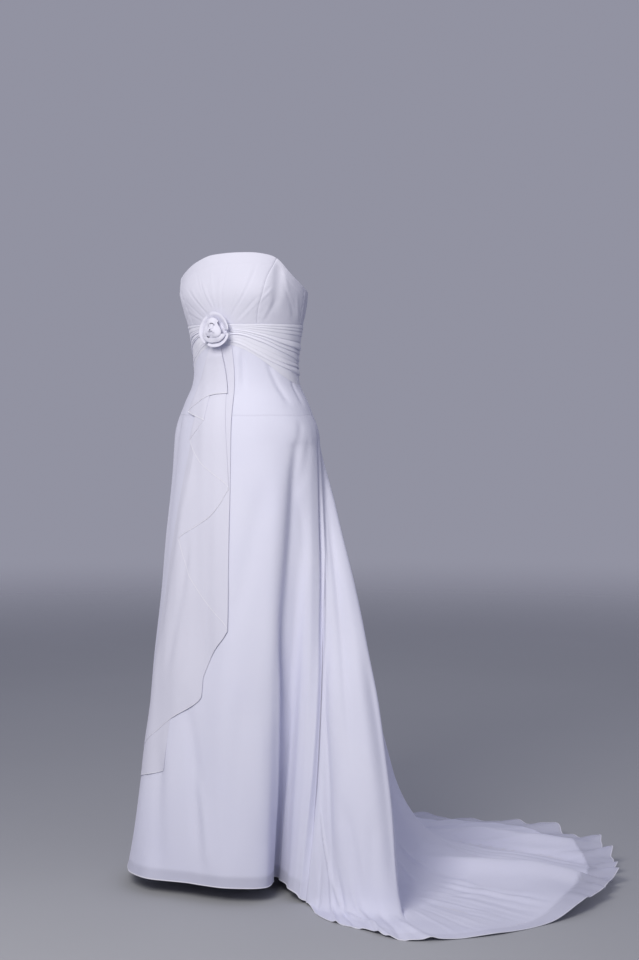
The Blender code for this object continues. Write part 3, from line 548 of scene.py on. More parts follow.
@dataclass(frozen=True)
class SkirtForm:
    """The skirt's surface, from the waist seam over the hip and down to the hem of the train."""

    figure: Figure = Figure()
    folds: tuple[Fold, ...] = SKIRT_FOLDS
    creases: tuple[Crease, ...] = FRONT_CREASES + BACK_LEFT_CREASES + BACK_RIGHT_CREASES
    stack: float = 0.0027
    fitted_share: float = 0.45
    grounded_run: float = 0.050
    hanging_bend: float = 0.004
    hem_rise_start: float = 0.4
    edge_step: float = 0.01
    steps: tuple[float, float] = (0.01, -0.002)
    loose: tuple[Swell, ...] = (
        Swell(7.3, 4.1, 0.9, 0.12, 0.00060),
        Swell(-4.4, 8.2, 1.7, 0.47, 0.00055),
        Swell(11.2, -3.6, -1.3, 0.81, 0.00035),
        Swell(2.9, 3.3, 3.1, 0.30, 0.00070),
    )
    loose_start: float = 0.25
    loose_fade: float = 0.9
    hem_flutter: float = 0.0034
    hem_flutter_reach: float = 0.075
    flutter_fade: float = 1.5
    flutter_pitch: float = 0.55
    flutter_phase: float = 0.3
    ruffle_share: float = 0.070
    ruffle_sizes: Pairs = (
        (10.5, 0.0), (12.5, 0.0020), (14.8, 0.0034), (16.0, 0.0210), (19.5, 0.0230),
        (21.5, 0.0130), (24.4, 0.0080), (25.8, 0.0),
    )
    ruffle_waves: tuple[Wave, ...] = (
        Wave(0.83, 0.10, 0.32), Wave(1.43, 0.62, 0.46), Wave(2.57, 0.35, 0.22),
    )
    lobe_depth: float = 0.62
    edge_wander: float = 0.011
    sheerness: Pairs = (
        (0.0, 0.36), (8.0, 0.36), (9.0, 0.20), (10.0, 0.16), (11.5, 0.24), (14.0, 0.40),
        (15.5, 0.70), (16.5, 1.0), (24.0, 1.0), (25.5, 0.40),
    )
    search_points: tuple[int, int] = (90, 120)
    search_margin: float = 2.5
    search_end: float = 1.98
    newton_steps: int = 2
    longest_move: tuple[float, float] = (0.2, 0.05)

    def value(self, station: Grid, column: str) -> Grid:
        """A column of the fold table at a fractional row, as a Catmull-Rom curve that closes
        round the skirt.

        Args:
            station: Fractional row number.
            column: Name of the column.

        Returns:
            Its value there.
        """
        values = np.array([getattr(fold, column) for fold in self.folds], float)
        lap = 360.0 if column == "angle" else 0.0
        row = np.floor(station).astype(int)
        rows = (row - 1, row, row + 1, row + 2)
        near = [values[i % FOLD_COUNT] + lap * (i // FOLD_COUNT) for i in rows]
        return catmull_rom(*near, station - row)

    @staticmethod
    def turned(distance: Grid, bend: Grid) -> Grid:
        """Distance gone past a corner, eased by a parabola within one bend of it."""
        eased = np.clip(distance + bend, 0.0, None) ** 2 / (4 * bend)
        return np.where(distance > bend, distance, eased)

    def plain(self, station: Grid | float, share: Grid | float) -> Grid:
        """The outer surface without its creases. From the hip the cloth falls in a straight line
        to its foot, turns through a parabola and runs along the floor to the hem. Above the hip
        that line blends into the fitted figure.

        Args:
            station: Fractional row of the fold table.
            share: 0 at the waist seam, 1 at the hip, 2 at the hem.

        Returns:
            Points, in metres.
        """
        station, share = np.broadcast_arrays(np.asarray(station, float), np.asarray(share, float))
        get = {name: self.value(station, name) for name in Fold._fields[1:]}
        seam = self.figure.waist_seam(get["angle"])
        hip = self.figure.point(get["angle"], HIP)
        floor_run = np.hypot(get["hem_x"] - get["foot_x"], get["hem_y"] - get["foot_y"])
        grounded = smooth(floor_run / self.grounded_run)
        foot_height = FLOOR + get["hem"] + (self.stack - get["hem"]) * grounded
        foot = np.stack([get["foot_x"], get["foot_y"], foot_height], axis=-1)
        run = np.stack([get["hem_x"], get["hem_y"], foot_height], axis=-1) - foot
        fall_length = np.linalg.norm(hip - foot, axis=-1)

        down = np.clip(share, 0.0, 1.0) * (seam - HIP)
        beyond = np.clip(share - 1.0, 0.0, None) * (fall_length + floor_run)
        distance = down - (seam - HIP) + beyond - fall_length
        bend = np.clip(np.minimum(get["bend"], floor_run), self.hanging_bend, None)
        falling = self.turned(-distance, bend)[..., None] * unit(hip - foot)
        running = (self.turned(distance, bend) * grounded)[..., None] * unit(run)
        path = foot + falling + running

        fell = np.clip(beyond / fall_length, 0.0, 1.0)
        turn = np.radians(get["angle"])
        outward = np.stack([np.sin(turn), -np.cos(turn), np.zeros_like(turn)], axis=-1)
        path = path + (get["bulge"] * 4 * fell * (1 - fell))[..., None] * outward
        along = np.clip(distance / np.maximum(floor_run, self.hanging_bend), 0.0, 1.0)
        rise = get["ridge"] * 4 * along * (1 - along)
        late = smooth(along, self.hem_rise_start, 1 - self.hem_rise_start)
        path[..., 2] += (rise + (get["hem"] - self.stack) * late) * grounded

        body = self.figure.point(get["angle"], seam - down)
        leaving = (np.clip(share, 0.0, 1.0) - self.fitted_share) / (1 - self.fitted_share)
        leaving = smooth(leaving)[..., None]
        return body * (1 - leaving) + path * leaving

    def facing(self, station: Grid, share: Grid) -> Grid:
        """Outward unit normals of the plain surface."""
        return slope_normals(self.plain, station, share, self.steps)

    def metres(self, station: Grid, share: Grid) -> tuple[Grid, Grid]:
        """Metres for a station and for a unit of share, at each point."""
        a, b = self.steps[0], -self.steps[1]
        low = np.clip(share, 0.0, 2.0 - b)
        across = self.plain(station + a, share) - self.plain(station - a, share)
        along = self.plain(station, low + b) - self.plain(station, low)
        return np.linalg.norm(across, axis=-1) / (2 * a), np.linalg.norm(along, axis=-1) / b

    def relief(self, station: Grid, share: Grid, hem_distance: Grid) -> Grid:
        """Height of creases and soft unevenness: the listed creases, slow swells of the loose
        cloth, and a flutter that dies away above the hem.

        Args:
            station: Fractional row of the fold table.
            share: Share down the cloth.
            hem_distance: Metres from the hem.

        Returns:
            Height above the plain surface, in metres.
        """
        metres = self.metres(station, share)
        made = crease_relief(self.creases, station, share, metres)
        loose = smooth(share, self.loose_start, self.loose_fade)
        made += loose * swells(self.plain(station, share), self.loose)
        hanging = smooth((LEFT_SEAM + self.flutter_fade - station) / self.flutter_fade)
        fall = np.exp(-hem_distance / self.hem_flutter_reach) * hanging
        wave = flutter(self.flutter_pitch * station + self.flutter_phase, self.ruffle_waves)
        return made + self.hem_flutter * fall * wave

    def ruffle(self, station: Grid, share: Grid) -> Grid:
        """Lift of the train's edge off the floor: scallops that grow over its last part, small
        on the near side and tall at the train's end."""
        late = smooth((share - 2 + self.ruffle_share) / self.ruffle_share) ** 1.5
        return self.ruffle_size(station) * late * self.lobes(station)

    def ruffle_size(self, station: Grid) -> Grid:
        """Height of the scallops at a station, through their table."""
        return np.clip(through_pairs(station, self.ruffle_sizes), 0.0, None)

    def lobes(self, station: Grid) -> Grid:
        """0 in the notches of the train's edge and up to 1 on its scallops."""
        return np.clip(0.5 + self.lobe_depth * flutter(station, self.ruffle_waves), 0.0, 1.0)

    def hem_share(self, station: Grid) -> Grid:
        """Share of the hem: 2, and a little less in the notches between tall scallops."""
        tall = self.ruffle_size(station) / max(size for _, size in self.ruffle_sizes)
        return 2.0 - self.edge_wander * tall * (1 - self.lobes(station))

    def sheer_share(self, station: Grid) -> Grid:
        """How sheer the border looks at a station, through its table."""
        return through_pairs(station, self.sheerness)

    def draped(self, station: Grid, share: Grid) -> Grid:
        """The outer surface with its creases and ruffled edge."""
        hem_distance = np.clip(2.0 - share, 0.0, None) * self.metres(station, share)[1]
        lifted = self.relief(station, share, hem_distance)[..., None]
        points = self.plain(station, share) + lifted * self.facing(station, share)
        points[..., 2] += self.ruffle(station, share)
        return points

    def lining_share(self, station: Grid) -> Grid:
        """Share of the lining's edge, a border's width short of the hem."""
        return 2.0 - self.value(station, "border") / self.metres_above(station, 2.0)

    def metres_above(self, station: Grid, edge: Grid | float) -> Grid:
        """Metres for a unit of share just above an edge, from a step in share."""
        near = edge - 2 * self.edge_step
        step = self.plain(station, near + self.edge_step) - self.plain(station, near)
        return np.linalg.norm(step, axis=-1) / self.edge_step

    def on_front(self, x: Grid, height: Grid) -> tuple[Grid, Grid]:
        """Points and normals of the skirt's draped front at given x and height: the nearest of a
        fine grid of its plain points, then two Newton steps.

        Args:
            x: Sideways place.
            height: Height above the floor.

        Returns:
            Points and outward unit normals.
        """
        stations, shares = np.meshgrid(
            np.linspace(RIGHT_SEAM, LEFT_SEAM - self.search_margin, self.search_points[0]),
            np.linspace(0.0, self.search_end, self.search_points[1]),
        )
        grid = self.plain(stations, shares)[..., (0, 2)].reshape(-1, 2)
        target = np.stack([x, height - UNDERBUST], axis=-1)
        nearest = [
            np.argmin(np.linalg.norm(grid[None] - row[:, None], axis=-1), axis=1) for row in target
        ]
        station = stations.reshape(-1)[np.array(nearest)]
        share = shares.reshape(-1)[np.array(nearest)]
        step = (self.steps[0], -self.steps[1])
        for _ in range(self.newton_steps):
            here = self.plain(station, share)[..., (0, 2)]
            by_station = (self.plain(station + step[0], share)[..., (0, 2)] - here) / step[0]
            by_share = (self.plain(station, share + step[1])[..., (0, 2)] - here) / step[1]
            slopes = np.stack([by_station, by_share], axis=-1)
            move = np.linalg.solve(slopes, (target - here)[..., None])[..., 0]
            move = np.clip(move, np.negative(self.longest_move), self.longest_move)
            station = station + move[..., 0]
            share = np.clip(share + move[..., 1], 0.0, 2.0)
        return self.draped(station, share), self.facing(station, share)


def add_object(name: str, data: bpy.types.ID) -> bpy.types.Object:
    """A new object with that data, linked to the scene."""
    made = bpy.data.objects.new(name, data)
    bpy.context.scene.collection.objects.link(made)
    return made


@dataclass
class ClothGrid:
    """A piece of cloth as grids of rows by columns. Rows go up and columns go towards the
    wearer's left, seen from outside.

    Attributes:
        outer: Points of the outer face.
        inner: Points of the inner face.
        sheer: 0 where something backs the cloth, 1 where it is sheer.
        sharp: Angle past which an edge is shaded sharp, in degrees.
    """

    outer: Grid
    inner: Grid
    sheer: Grid | float = 0.0
    sharp: float = 55.0

    @classmethod
    def of_middle(cls, middle: Grid, half: Grid, facing: Grid, **look: float) -> "ClothGrid":
        """Cloth that reaches half its thickness to either side of its middle."""
        reach = half[..., None] * facing
        return cls(middle + reach, middle - reach, **look)

    def metres(self) -> Grid:
        """The cloth's own coordinates in metres: lengths along rows from the middle column, and
        up columns from the bottom row."""
        rows, columns, _ = self.outer.shape
        across = np.linalg.norm(np.diff(self.outer, axis=1), axis=-1)
        upward = np.linalg.norm(np.diff(self.outer, axis=0), axis=-1)
        u = np.concatenate([np.zeros((rows, 1)), np.cumsum(across, axis=1)], axis=1)
        v = np.concatenate([np.zeros((1, columns)), np.cumsum(upward, axis=0)], axis=0)
        return np.stack([u - u[:, columns // 2, None], v], axis=-1)

    def mesh(self, name: str) -> bpy.types.Object:
        """A closed wall between the two faces, with its rim.

        Args:
            name: The object's name.

        Returns:
            The new object, linked to the scene, with the cloth's coordinates as its UV map, a
            map for baking with each face in its own half, and the sheer attribute.
        """
        rows, columns, _ = self.outer.shape
        index = np.arange(rows * columns).reshape(rows, columns)
        back = index + rows * columns
        corners = [index[:-1, :-1], index[:-1, 1:], index[1:, 1:], index[1:, :-1]]
        outside = np.stack(corners, axis=-1).reshape(-1, 4)
        inside = outside[:, ::-1] + rows * columns
        rim = np.concatenate([index[0, :-1], index[:-1, -1], index[-1, :0:-1], index[:0:-1, 0]])
        rim_back = np.concatenate([back[0, :-1], back[:-1, -1], back[-1, :0:-1], back[:0:-1, 0]])
        edge = np.stack([rim, rim_back, np.roll(rim_back, -1), np.roll(rim, -1)], axis=-1)
        faces = np.concatenate([outside, inside, edge])
        points = np.concatenate([self.outer.reshape(-1, 3), self.inner.reshape(-1, 3)])

        mesh = bpy.data.meshes.new(name)
        mesh.from_pydata(points.tolist(), [], faces.tolist())
        cloth = np.tile(self.metres().reshape(-1, 2), (2, 1))
        self._set_map(mesh, "cloth", cloth[faces.reshape(-1)])
        self._set_map(mesh, "OFBake", self._bake_places(rows, columns, faces, len(edge)))
        sheer = np.broadcast_to(np.asarray(self.sheer, float), (rows, columns)).reshape(-1)
        attribute = mesh.attributes.new("sheer", "FLOAT", "POINT")
        attribute.data.foreach_set("value", np.tile(sheer, 2).astype(np.float32))
        mesh.shade_smooth()
        mesh.set_sharp_from_angle(angle=np.radians(self.sharp))
        made = add_object(name, mesh)
        return made

    @staticmethod
    def _set_map(mesh: bpy.types.Mesh, name: str, places: Grid) -> None:
        """Adds a UV map with a place for each corner."""
        layer = mesh.uv_layers.new(name=name)
        layer.uv.foreach_set("vector", places.astype(np.float32).reshape(-1))

    @staticmethod
    def _bake_places(rows: int, columns: int, faces: Grid, rim_faces: int) -> Grid:
        """Corner places for baking: the outer face fills the left half, the inner face the
        right half, and the rim a strip along the top."""
        half, strip = 0.49, 0.97
        across, upward = np.meshgrid(np.linspace(0, half, columns), np.linspace(0, strip, rows))
        outer = np.stack([across, upward], axis=-1).reshape(-1, 2)
        places = np.concatenate([outer, outer + (1 - half, 0)])[faces.reshape(-1)]
        start = np.linspace(0, 1, rim_faces + 1)
        low, high = np.full(rim_faces, strip + 0.01), np.ones(rim_faces)
        corners = [(start[:-1], low), (start[:-1], high), (start[1:], high), (start[1:], low)]
        rim = np.stack([np.stack(pair, axis=-1) for pair in corners], axis=1).reshape(-1, 2)
        places[-len(rim):] = rim
        return places


class Shade:
    """A number in a material. Python arithmetic on it adds Math nodes."""

    def __init__(self, work: "MaterialWork", socket: bpy.types.NodeSocket) -> None:
        """Wraps a node's output socket."""
        self.work = work
        self.socket = socket

    def math(self, operation: str, *values: "Shade | float") -> "Shade":
        """A Math node on the given values.

        Args:
            operation: The Math node's operation.
            values: Its inputs, in order.

        Returns:
            The result.
        """
        node = self.work.node("ShaderNodeMath", {"operation": operation}, dict(enumerate(values)))
        return Shade(self.work, node.outputs[0])

    def __add__(self, other: "Shade | float") -> "Shade":
        """Sum."""
        return self.math("ADD", self, other)

    __radd__ = __add__

    def __sub__(self, other: "Shade | float") -> "Shade":
        """Difference."""
        return self.math("SUBTRACT", self, other)

    def __rsub__(self, other: float) -> "Shade":
        """Difference from a number."""
        return self.math("SUBTRACT", other, self)

    def __mul__(self, other: "Shade | float") -> "Shade":
        """Product."""
        return self.math("MULTIPLY", self, other)

    __rmul__ = __mul__

    def __truediv__(self, other: "Shade | float") -> "Shade":
        """Quotient."""
        return self.math("DIVIDE", self, other)

    def sine(self) -> "Shade":
        """Sine of an angle in radians."""
        return self.math("SINE", self)

    def size(self) -> "Shade":
        """Absolute value."""
        return self.math("ABSOLUTE", self)

    def above(self, level: float, softness: float) -> "Shade":
        """0 below a level and 1 above it, with a smooth step of that width."""
        inputs = {"Value": self, "From Min": level - softness / 2, "From Max": level + softness / 2}
        node = self.work.node("ShaderNodeMapRange", {"interpolation_type": "SMOOTHSTEP"}, inputs)
        return Shade(self.work, node.outputs[0])

    def line_at(self, level: float, width: float) -> "Shade":
        """1 on a level and 0 beyond half a width from it."""
        return 1 - (self - level).size().above(width / 2, width / 2)


class MaterialWork:
    """A material under construction."""

    def __init__(self, name: str) -> None:
        """Starts an empty material."""
        self.material = bpy.data.materials.new(name)
        self.material.use_nodes = True
        self.tree = self.material.node_tree
        self.tree.nodes.clear()

    def node(
        self,
        kind: str,
        settings: dict[str, object] | None = None,
        inputs: dict[str | int, object] | None = None,
    ) -> bpy.types.Node:
        """Adds a node.

        Args:
            kind: The node's type.
            settings: Its own settings, which are set first.
            inputs: Values or links of its sockets, by name or number.

        Returns:
            The node.
        """
        made = self.tree.nodes.new(kind)
        for name, value in (settings or {}).items():
            setattr(made, name, value)
        for name, value in (inputs or {}).items():
            if isinstance(value, Shade):
                value = value.socket
            if isinstance(value, bpy.types.NodeSocket):
                self.tree.links.new(value, made.inputs[name])
            else:
                made.inputs[name].default_value = value
        return made

    def cloth_places(self) -> tuple[Shade, Shade, bpy.types.NodeSocket]:
        """The cloth's own coordinates in metres, apart and as one vector."""
        spot = self.node("ShaderNodeUVMap", {"uv_map": "cloth"}).outputs["UV"]
        parts = self.node("ShaderNodeSeparateXYZ", inputs={"Vector": spot}).outputs
        return Shade(self, parts["X"]), Shade(self, parts["Y"]), spot

    def noise(self, spot: bpy.types.NodeSocket, scale: float, detail: float = 2.0) -> Shade:
        """Soft noise from 0 to 1, with scale bumps in a metre."""
        inputs = {"Vector": spot, "Scale": scale, "Detail": detail}
        return Shade(self, self.node("ShaderNodeTexNoise", inputs=inputs).outputs["Fac"])

    def mixed(self, factor: Shade | float, a: object, b: object) -> bpy.types.NodeSocket:
        """A colour between a at 0 and b at 1."""
        inputs = {0: factor, 6: self.opaque(a), 7: self.opaque(b)}
        return self.node("ShaderNodeMix", {"data_type": "RGBA"}, inputs).outputs[2]

    def place(self) -> bpy.types.NodeSocket:
        """The place in the object's own coordinates."""
        return self.node("ShaderNodeTexCoord").outputs["Object"]

    @staticmethod
    def opaque(colour: object) -> object:
        """A colour with its fourth number, and a socket as it is."""
        return (*colour, 1.0) if isinstance(colour, tuple) else colour

    def bump(self, height: Shade, distance: float) -> bpy.types.NodeSocket:
        """A normal from a height from 0 to 1 that stands for a distance in metres."""
        inputs = {"Height": height, "Distance": distance, "Strength": 1.0}
        return self.node("ShaderNodeBump", inputs=inputs).outputs["Normal"]

    def finish(self, sockets: dict[str, object]) -> bpy.types.Material:
        """Closes the material with a Principled shader.

        Args:
            sockets: Values or links of the shader's sockets.

        Returns:
            The material.
        """
        shader = self.node("ShaderNodeBsdfPrincipled", inputs=sockets)
        self.node("ShaderNodeOutputMaterial", inputs={"Surface": shader.outputs["BSDF"]})
        return self.material


@dataclass(frozen=True)
class Chiffon:
    """Pale lavender chiffon: fine plain weave with a crepe grain, a soft sheen, and sheer where
    nothing backs it."""

    name: str = "chiffon"
    colour: Colour = (0.775, 0.778, 0.880)
    deep_colour: Colour = (0.715, 0.716, 0.845)
    edge_colour: Colour = (0.830, 0.832, 0.915)
    thread: float = 0.0007
    weave_depth: float = 0.00008
    crepe_scale: float = 620.0
    crepe_depth: float = 0.00022
    ripple_scale: float = 30.0
    ripple_depth: float = 0.0004
    cloud_scale: float = 7.0
    sheer_alpha: float = 0.52
    backed_alpha: float = 1.0
    deepening: tuple[float, float, float] = (0.55, 0.18, 0.18)
    hem_width: float = 0.0
    hem_tint: float = 0.8
    hem_alpha: float = 0.35
    stitch_tint: float = 0.5
    # Painted shadow: how strongly the yoke seam's line is darkened
    seam_shadow_tint: float = 0.18
    yoke_seam: float | None = None
    stitch_pitch: float = 0.0026
    stitch_place: float = 0.82
    stitch_width: float = 0.0007
    seam_width: float = 0.0026
    seam_wander: float = 0.008
    # Painted shadow: the dark colour of the line where the lining's yoke seam shows through
    seam_shadow_colour: Colour = (0.50, 0.49, 0.62)
    sunk: float = 0.0003
    # Painted shade: how far the colour darkens towards the hem, over the length below
    hem_painted_shade: float = 0.0
    fall_length: float = 0.9

    def material(self) -> bpy.types.Material:
        """Builds the material. Its height is the product of two sines for the threads, plus
        crepe and ripple noise. A hem is lighter, a seam that shows through is a thin line of painted
        shadow, and the colour can darken towards the hem as painted shade."""
        work = MaterialWork(self.name)
        u, v, spot = work.cloth_places()
        turn = 2 * np.pi / self.thread
        weave = (u * turn).sine() * (v * turn).sine() * 0.5 + 0.5
        crepe = work.noise(spot, self.crepe_scale, 1.0)
        ripple = work.noise(spot, self.ripple_scale, 2.0)
        cloud = work.noise(spot, self.cloud_scale, 3.0)
        by_cloud, by_weave, by_crepe = self.deepening
        depth = cloud * by_cloud + weave * by_weave + crepe * by_crepe
        # Painted shade: the colour darkens towards the hem
        if self.hem_painted_shade:
            depth = depth + (1 - v.above(0.0, self.fall_length)) * self.hem_painted_shade
        colour = work.mixed(depth, self.colour, self.deep_colour)
        normal_height = ripple * self.ripple_depth + crepe * self.crepe_depth + weave * self.weave_depth
        if self.hem_width:
            hem = 1 - v.above(self.hem_width, self.hem_width * 0.25)
            stitches = v.line_at(self.hem_width * self.stitch_place, self.stitch_width)
            stitches = stitches * (u * (2 * np.pi / self.stitch_pitch)).sine().above(-0.3, 0.5)
            colour = work.mixed(hem * self.hem_tint, colour, self.edge_colour)
            colour = work.mixed(stitches * self.stitch_tint, colour, self.deep_colour)
            normal_height = normal_height - stitches * self.sunk
        # The lining's yoke seam shows through as a thin line, darkened as painted shadow and sunk a
        # little
        if self.yoke_seam is not None:
            place = work.place()
            parts = work.node("ShaderNodeSeparateXYZ", inputs={"Vector": place}).outputs
            height = Shade(work, parts["Z"]) + (cloud - 0.5) * self.seam_wander
            seam = height.line_at(self.yoke_seam - UNDERBUST, self.seam_width)
            colour = work.mixed(seam * self.seam_shadow_tint, colour, self.seam_shadow_colour)
            normal_height = normal_height - seam * self.sunk
        sheer = work.node("ShaderNodeAttribute", {"attribute_name": "sheer"}).outputs["Fac"]
        sheer = Shade(work, sheer).above(0.5, 0.9)
        alpha = self.backed_alpha + sheer * (self.sheer_alpha - self.backed_alpha)
        if self.hem_width:
            alpha = alpha + hem * self.hem_alpha
            alpha = alpha.math("MINIMUM", alpha, 1.0)
        return work.finish({
            "Base Color": colour,
            "Roughness": 0.70 + crepe * 0.14,
            "Alpha": alpha,
            "Normal": work.bump(normal_height, 1.0),
            "Specular IOR Level": 0.22,
            "Sheen Weight": 0.38,
            "Sheen Roughness": 0.42,
            "Sheen Tint": (0.86, 0.86, 1.0, 1.0),
        })


@dataclass(frozen=True)
class LiningSatin:
    """Smooth opaque lining with a faint sheen and a fine twill."""

    name: str = "lining_satin"
    colour: Colour = (0.735, 0.737, 0.850)
    deep_colour: Colour = (0.690, 0.690, 0.820)
    thread: float = 0.0006
    hem_width: float = 0.012
    stitch_width: float = 0.0008
    stitch_turn: float = 2600.0
    stitch_colour: Colour = (0.55, 0.54, 0.68)
    cloud_scale: float = 9.0
    ripple_scale: float = 60.0

    def material(self) -> bpy.types.Material:
        """Builds the material: diagonal sines for the twill, and a stitched hem."""
        work = MaterialWork(self.name)
        u, v, spot = work.cloth_places()
        twill = ((u + v * 0.6) * (2 * np.pi / self.thread)).sine() * 0.5 + 0.5
        cloud = work.noise(spot, self.cloud_scale, 3.0)
        stitches = v.line_at(self.hem_width, self.stitch_width)
        stitches = stitches * (u * self.stitch_turn).sine().above(-0.2, 0.5)
        colour = work.mixed(cloud * 0.6 + twill * 0.2, self.colour, self.deep_colour)
        colour = work.mixed(stitches * 0.4, colour, self.stitch_colour)
        ripple = work.noise(spot, self.ripple_scale, 2.0)
        height = ripple * 0.0008 + twill * 0.00005 - stitches * 0.0002
        return work.finish({
            "Base Color": colour,
            "Roughness": 0.40 + cloud * 0.12,
            "Normal": work.bump(height, 1.0),
            "Specular IOR Level": 0.35,
            "Sheen Weight": 0.15,
        })


@dataclass(frozen=True)
class Enamel:
    """Metal enamelled in the cloth's colour, with a faint orange-peel and worn patches."""

    name: str = "zip_enamel"
    colour: Colour = (0.70, 0.70, 0.82)
    worn_colour: Colour = (0.62, 0.62, 0.66)
    peel_scale: float = 2400.0

    def material(self) -> bpy.types.Material:
        """Builds the material: noise for the peel, and noise patches where the enamel is thin."""
        work = MaterialWork(self.name)
        spot = work.place()
        peel = work.noise(spot, self.peel_scale, 1.0)
        thin = work.noise(spot, 700.0, 3.0).above(0.64, 0.10)
        return work.finish({
            "Base Color": work.mixed(thin * 0.5, self.colour, self.worn_colour),
            "Roughness": 0.26 + peel * 0.12 + thin * 0.1,
            "Metallic": thin * 0.6,
            "Normal": work.bump(peel, 0.00003),
            "Coat Weight": 0.3,
        })


@dataclass(frozen=True)
class StudioFloor:
    """A plain pale matt floor that fades out far from the gown."""

    name: str = "studio_floor"
    colour: Colour = (0.42, 0.43, 0.46)
    fade_start: float = 3.2
    fade_length: float = 5.0

    def material(self) -> bpy.types.Material:
        """Builds the material: faint mottling, and alpha that falls with distance."""
        work = MaterialWork(self.name)
        spot = work.place()
        length = work.node("ShaderNodeVectorMath", {"operation": "LENGTH"}, {0: spot}).outputs["Value"]
        far = (Shade(work, length) - self.fade_start) / self.fade_length
        mottle = work.noise(spot, 1.2, 4.0)
        return work.finish({
            "Base Color": work.mixed(mottle, self.colour, tuple(c * 0.94 for c in self.colour)),
            "Roughness": 0.62 + mottle * 0.1,
            "Alpha": 1 - far.above(0.5, 1.0),
            "Specular IOR Level": 0.25,
        })


@dataclass(frozen=True)
class Cut:
    """A piece of cloth as it was cut: width and length of the rectangle that holds it laid flat,
    its area, how it is held and what it rests on."""

    flat: tuple[float, float]
    area: float
    held: Hold
    rests_on: tuple[str, ...] = ("midriff_front_left",)


def dress(
    cloth: ClothGrid, node: str, slot: Slot, material: bpy.types.Material
) -> bpy.types.Object:
    """Makes the piece of cloth that stands for a node, gives it its material and its place on
    the gown, hides the node's solid, and logs its slot."""
    piece = cloth.mesh(node + "_cloth")
    piece.data.materials.append(material)
    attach(piece, GOWN)
    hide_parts(node)
    LOG.info("%s: %d faces, slot %s", piece.name, len(piece.data.polygons), slot.value)
    return piece


def rolled_wall(distance: Grid, wall: float, radius: float) -> Grid:
    """Half thickness of cloth with a rolled edge: a circle of that radius, closed at the edge,
    that goes over into the plain wall.

    Args:
        distance: Metres from the edge.
        wall: Thickness of the cloth.
        radius: Radius of the roll.

    Returns:
        Half the thickness.
    """
    in_roll = np.clip(1 - (distance / radius - 1) ** 2, 0.0, None)
    half = np.maximum(radius * np.sqrt(in_roll), wall / 2 * smooth(distance / (2 * radius)))
    return np.maximum(half, THIN)


@dataclass(frozen=True)
class Panel:
    """A bodice panel between two seams, given as angles for a height."""

    name: str
    left: Callable[[Grid], Grid]
    right: Callable[[Grid], Grid]
    columns: int
    width: float
    length: float
    area: float
    creases: tuple[Crease, ...]


FRONT_GATHERS = creases_of((
    (-16.8, 1.312, -4, 1.24, 2, 1.2, 2.3, -0.63),
    (-14.8, 1.312, -2.5, 1.24, 2, 2.3, 2.8, 0.48),
    (9.8, 1.345, 5, 1.232, 2, 2.7, 2.3, -0.63),
    (4, 1.33, 2.6, 1.24, 0, 2.3, 2.2, 0.48),
    (36, 1.344, 13, 1.228, -8, 2.8, 2.3, -0.71),
    (32, 1.342, 11, 1.228, -8, 3.1, 2.3, 0.52),
    (38.5, 1.274, 16, 1.216, -2, 2.3, 2, -0.63),
    (39, 1.262, 18, 1.214, -2, 2.3, 1.9, 0.48),
    (22.5, 1.318, 9.5, 1.232, -4, 3.1, 2.2, 0.4),
    (25.5, 1.3, 12, 1.226, -4, 2.3, 2, -0.48),
    (-6, 1.335, 0, 1.24, 1, 3.1, 2.3, 0.35),
    (-9, 1.3, -1.5, 1.24, 1, 2.3, 2, -0.4),
    (-30.5, 1.294, -9, 1.23, 3, 2, 2.3, -0.71),
    (-27, 1.296, -8, 1.232, 3, 2.7, 2.3, 0.52),
    (-36, 1.27, -14, 1.222, 3, 2.2, 2.2, -0.6),
    (-37, 1.248, -15, 1.218, 2, 2.3, 2, 0.55),
    (-37, 1.238, -16, 1.216, 1, 1.7, 1.7, -0.55),
    (-23, 1.33, -5, 1.238, 3, 2.8, 2.3, -0.35),
))
SIDE_FRONT_CREASES = creases_of((
    (59, 1.348, 52, 1.232, 0, 12, 14, -3.5),
    (56, 1.35, 50.5, 1.262, 2, 6.6, 9.9, -0.68),
    (59, 1.342, 66, 1.262, -4, 4.5, 8.9, 0.82),
    (40.8, 1.272, 49.5, 1.298, 1, 2.6, 3.3, -0.68),
    (39.5, 1.262, 50, 1.29, 1, 3.3, 3.3, 0.52),
    (39.5, 1.254, 48, 1.278, 1, 2.6, 3.3, -0.52),
    (41, 1.216, 51.5, 1.272, 1, 4.7, 5.1, 0.68),
    (44.5, 1.216, 55, 1.266, 1, 4.5, 5.4, -0.52),
    (61, 1.296, 81, 1.222, 2, 4.5, 7.5, -0.97),
    (78, 1.274, 88, 1.22, 1, 5.9, 7.5, 0.82),
    (68, 1.28, 73, 1.222, 0, 7.5, 8.9, 0.52),
))
BACK_CREASES = creases_of((
    (97, 1.276, 104, 1.216, 1, 4.4, 5.5, -1.44),
    (112, 1.268, 116, 1.218, 0, 5.5, 6.6, 0.96),
    (131, 1.262, 128, 1.216, 0, 5.5, 5.5, -0.96),
    (168, 1.232, 179, 1.24, 0, 2.9, 2.2, -0.88),
    (170, 1.218, 179, 1.222, 0, 2.9, 2.2, 0.8),
))


def seam_at(angle: float) -> Callable[[Grid], Grid]:
    """A seam that keeps one angle at every height."""
    return lambda height: angle + 0 * height


def mirrored(creases: Sequence[Crease], uneven: float) -> tuple[Crease, ...]:
    """The creases on the other side of the body, a little apart from the first ones."""
    return tuple(
        crease._replace(
            across=-crease.across - uneven * (k % 3 - 1),
            end_across=-crease.end_across + uneven * (k % 2),
            bow=-crease.bow,
            depth=crease.depth * (1 - 0.25 * (k % 2)),
        )
        for k, crease in enumerate(creases)
    )


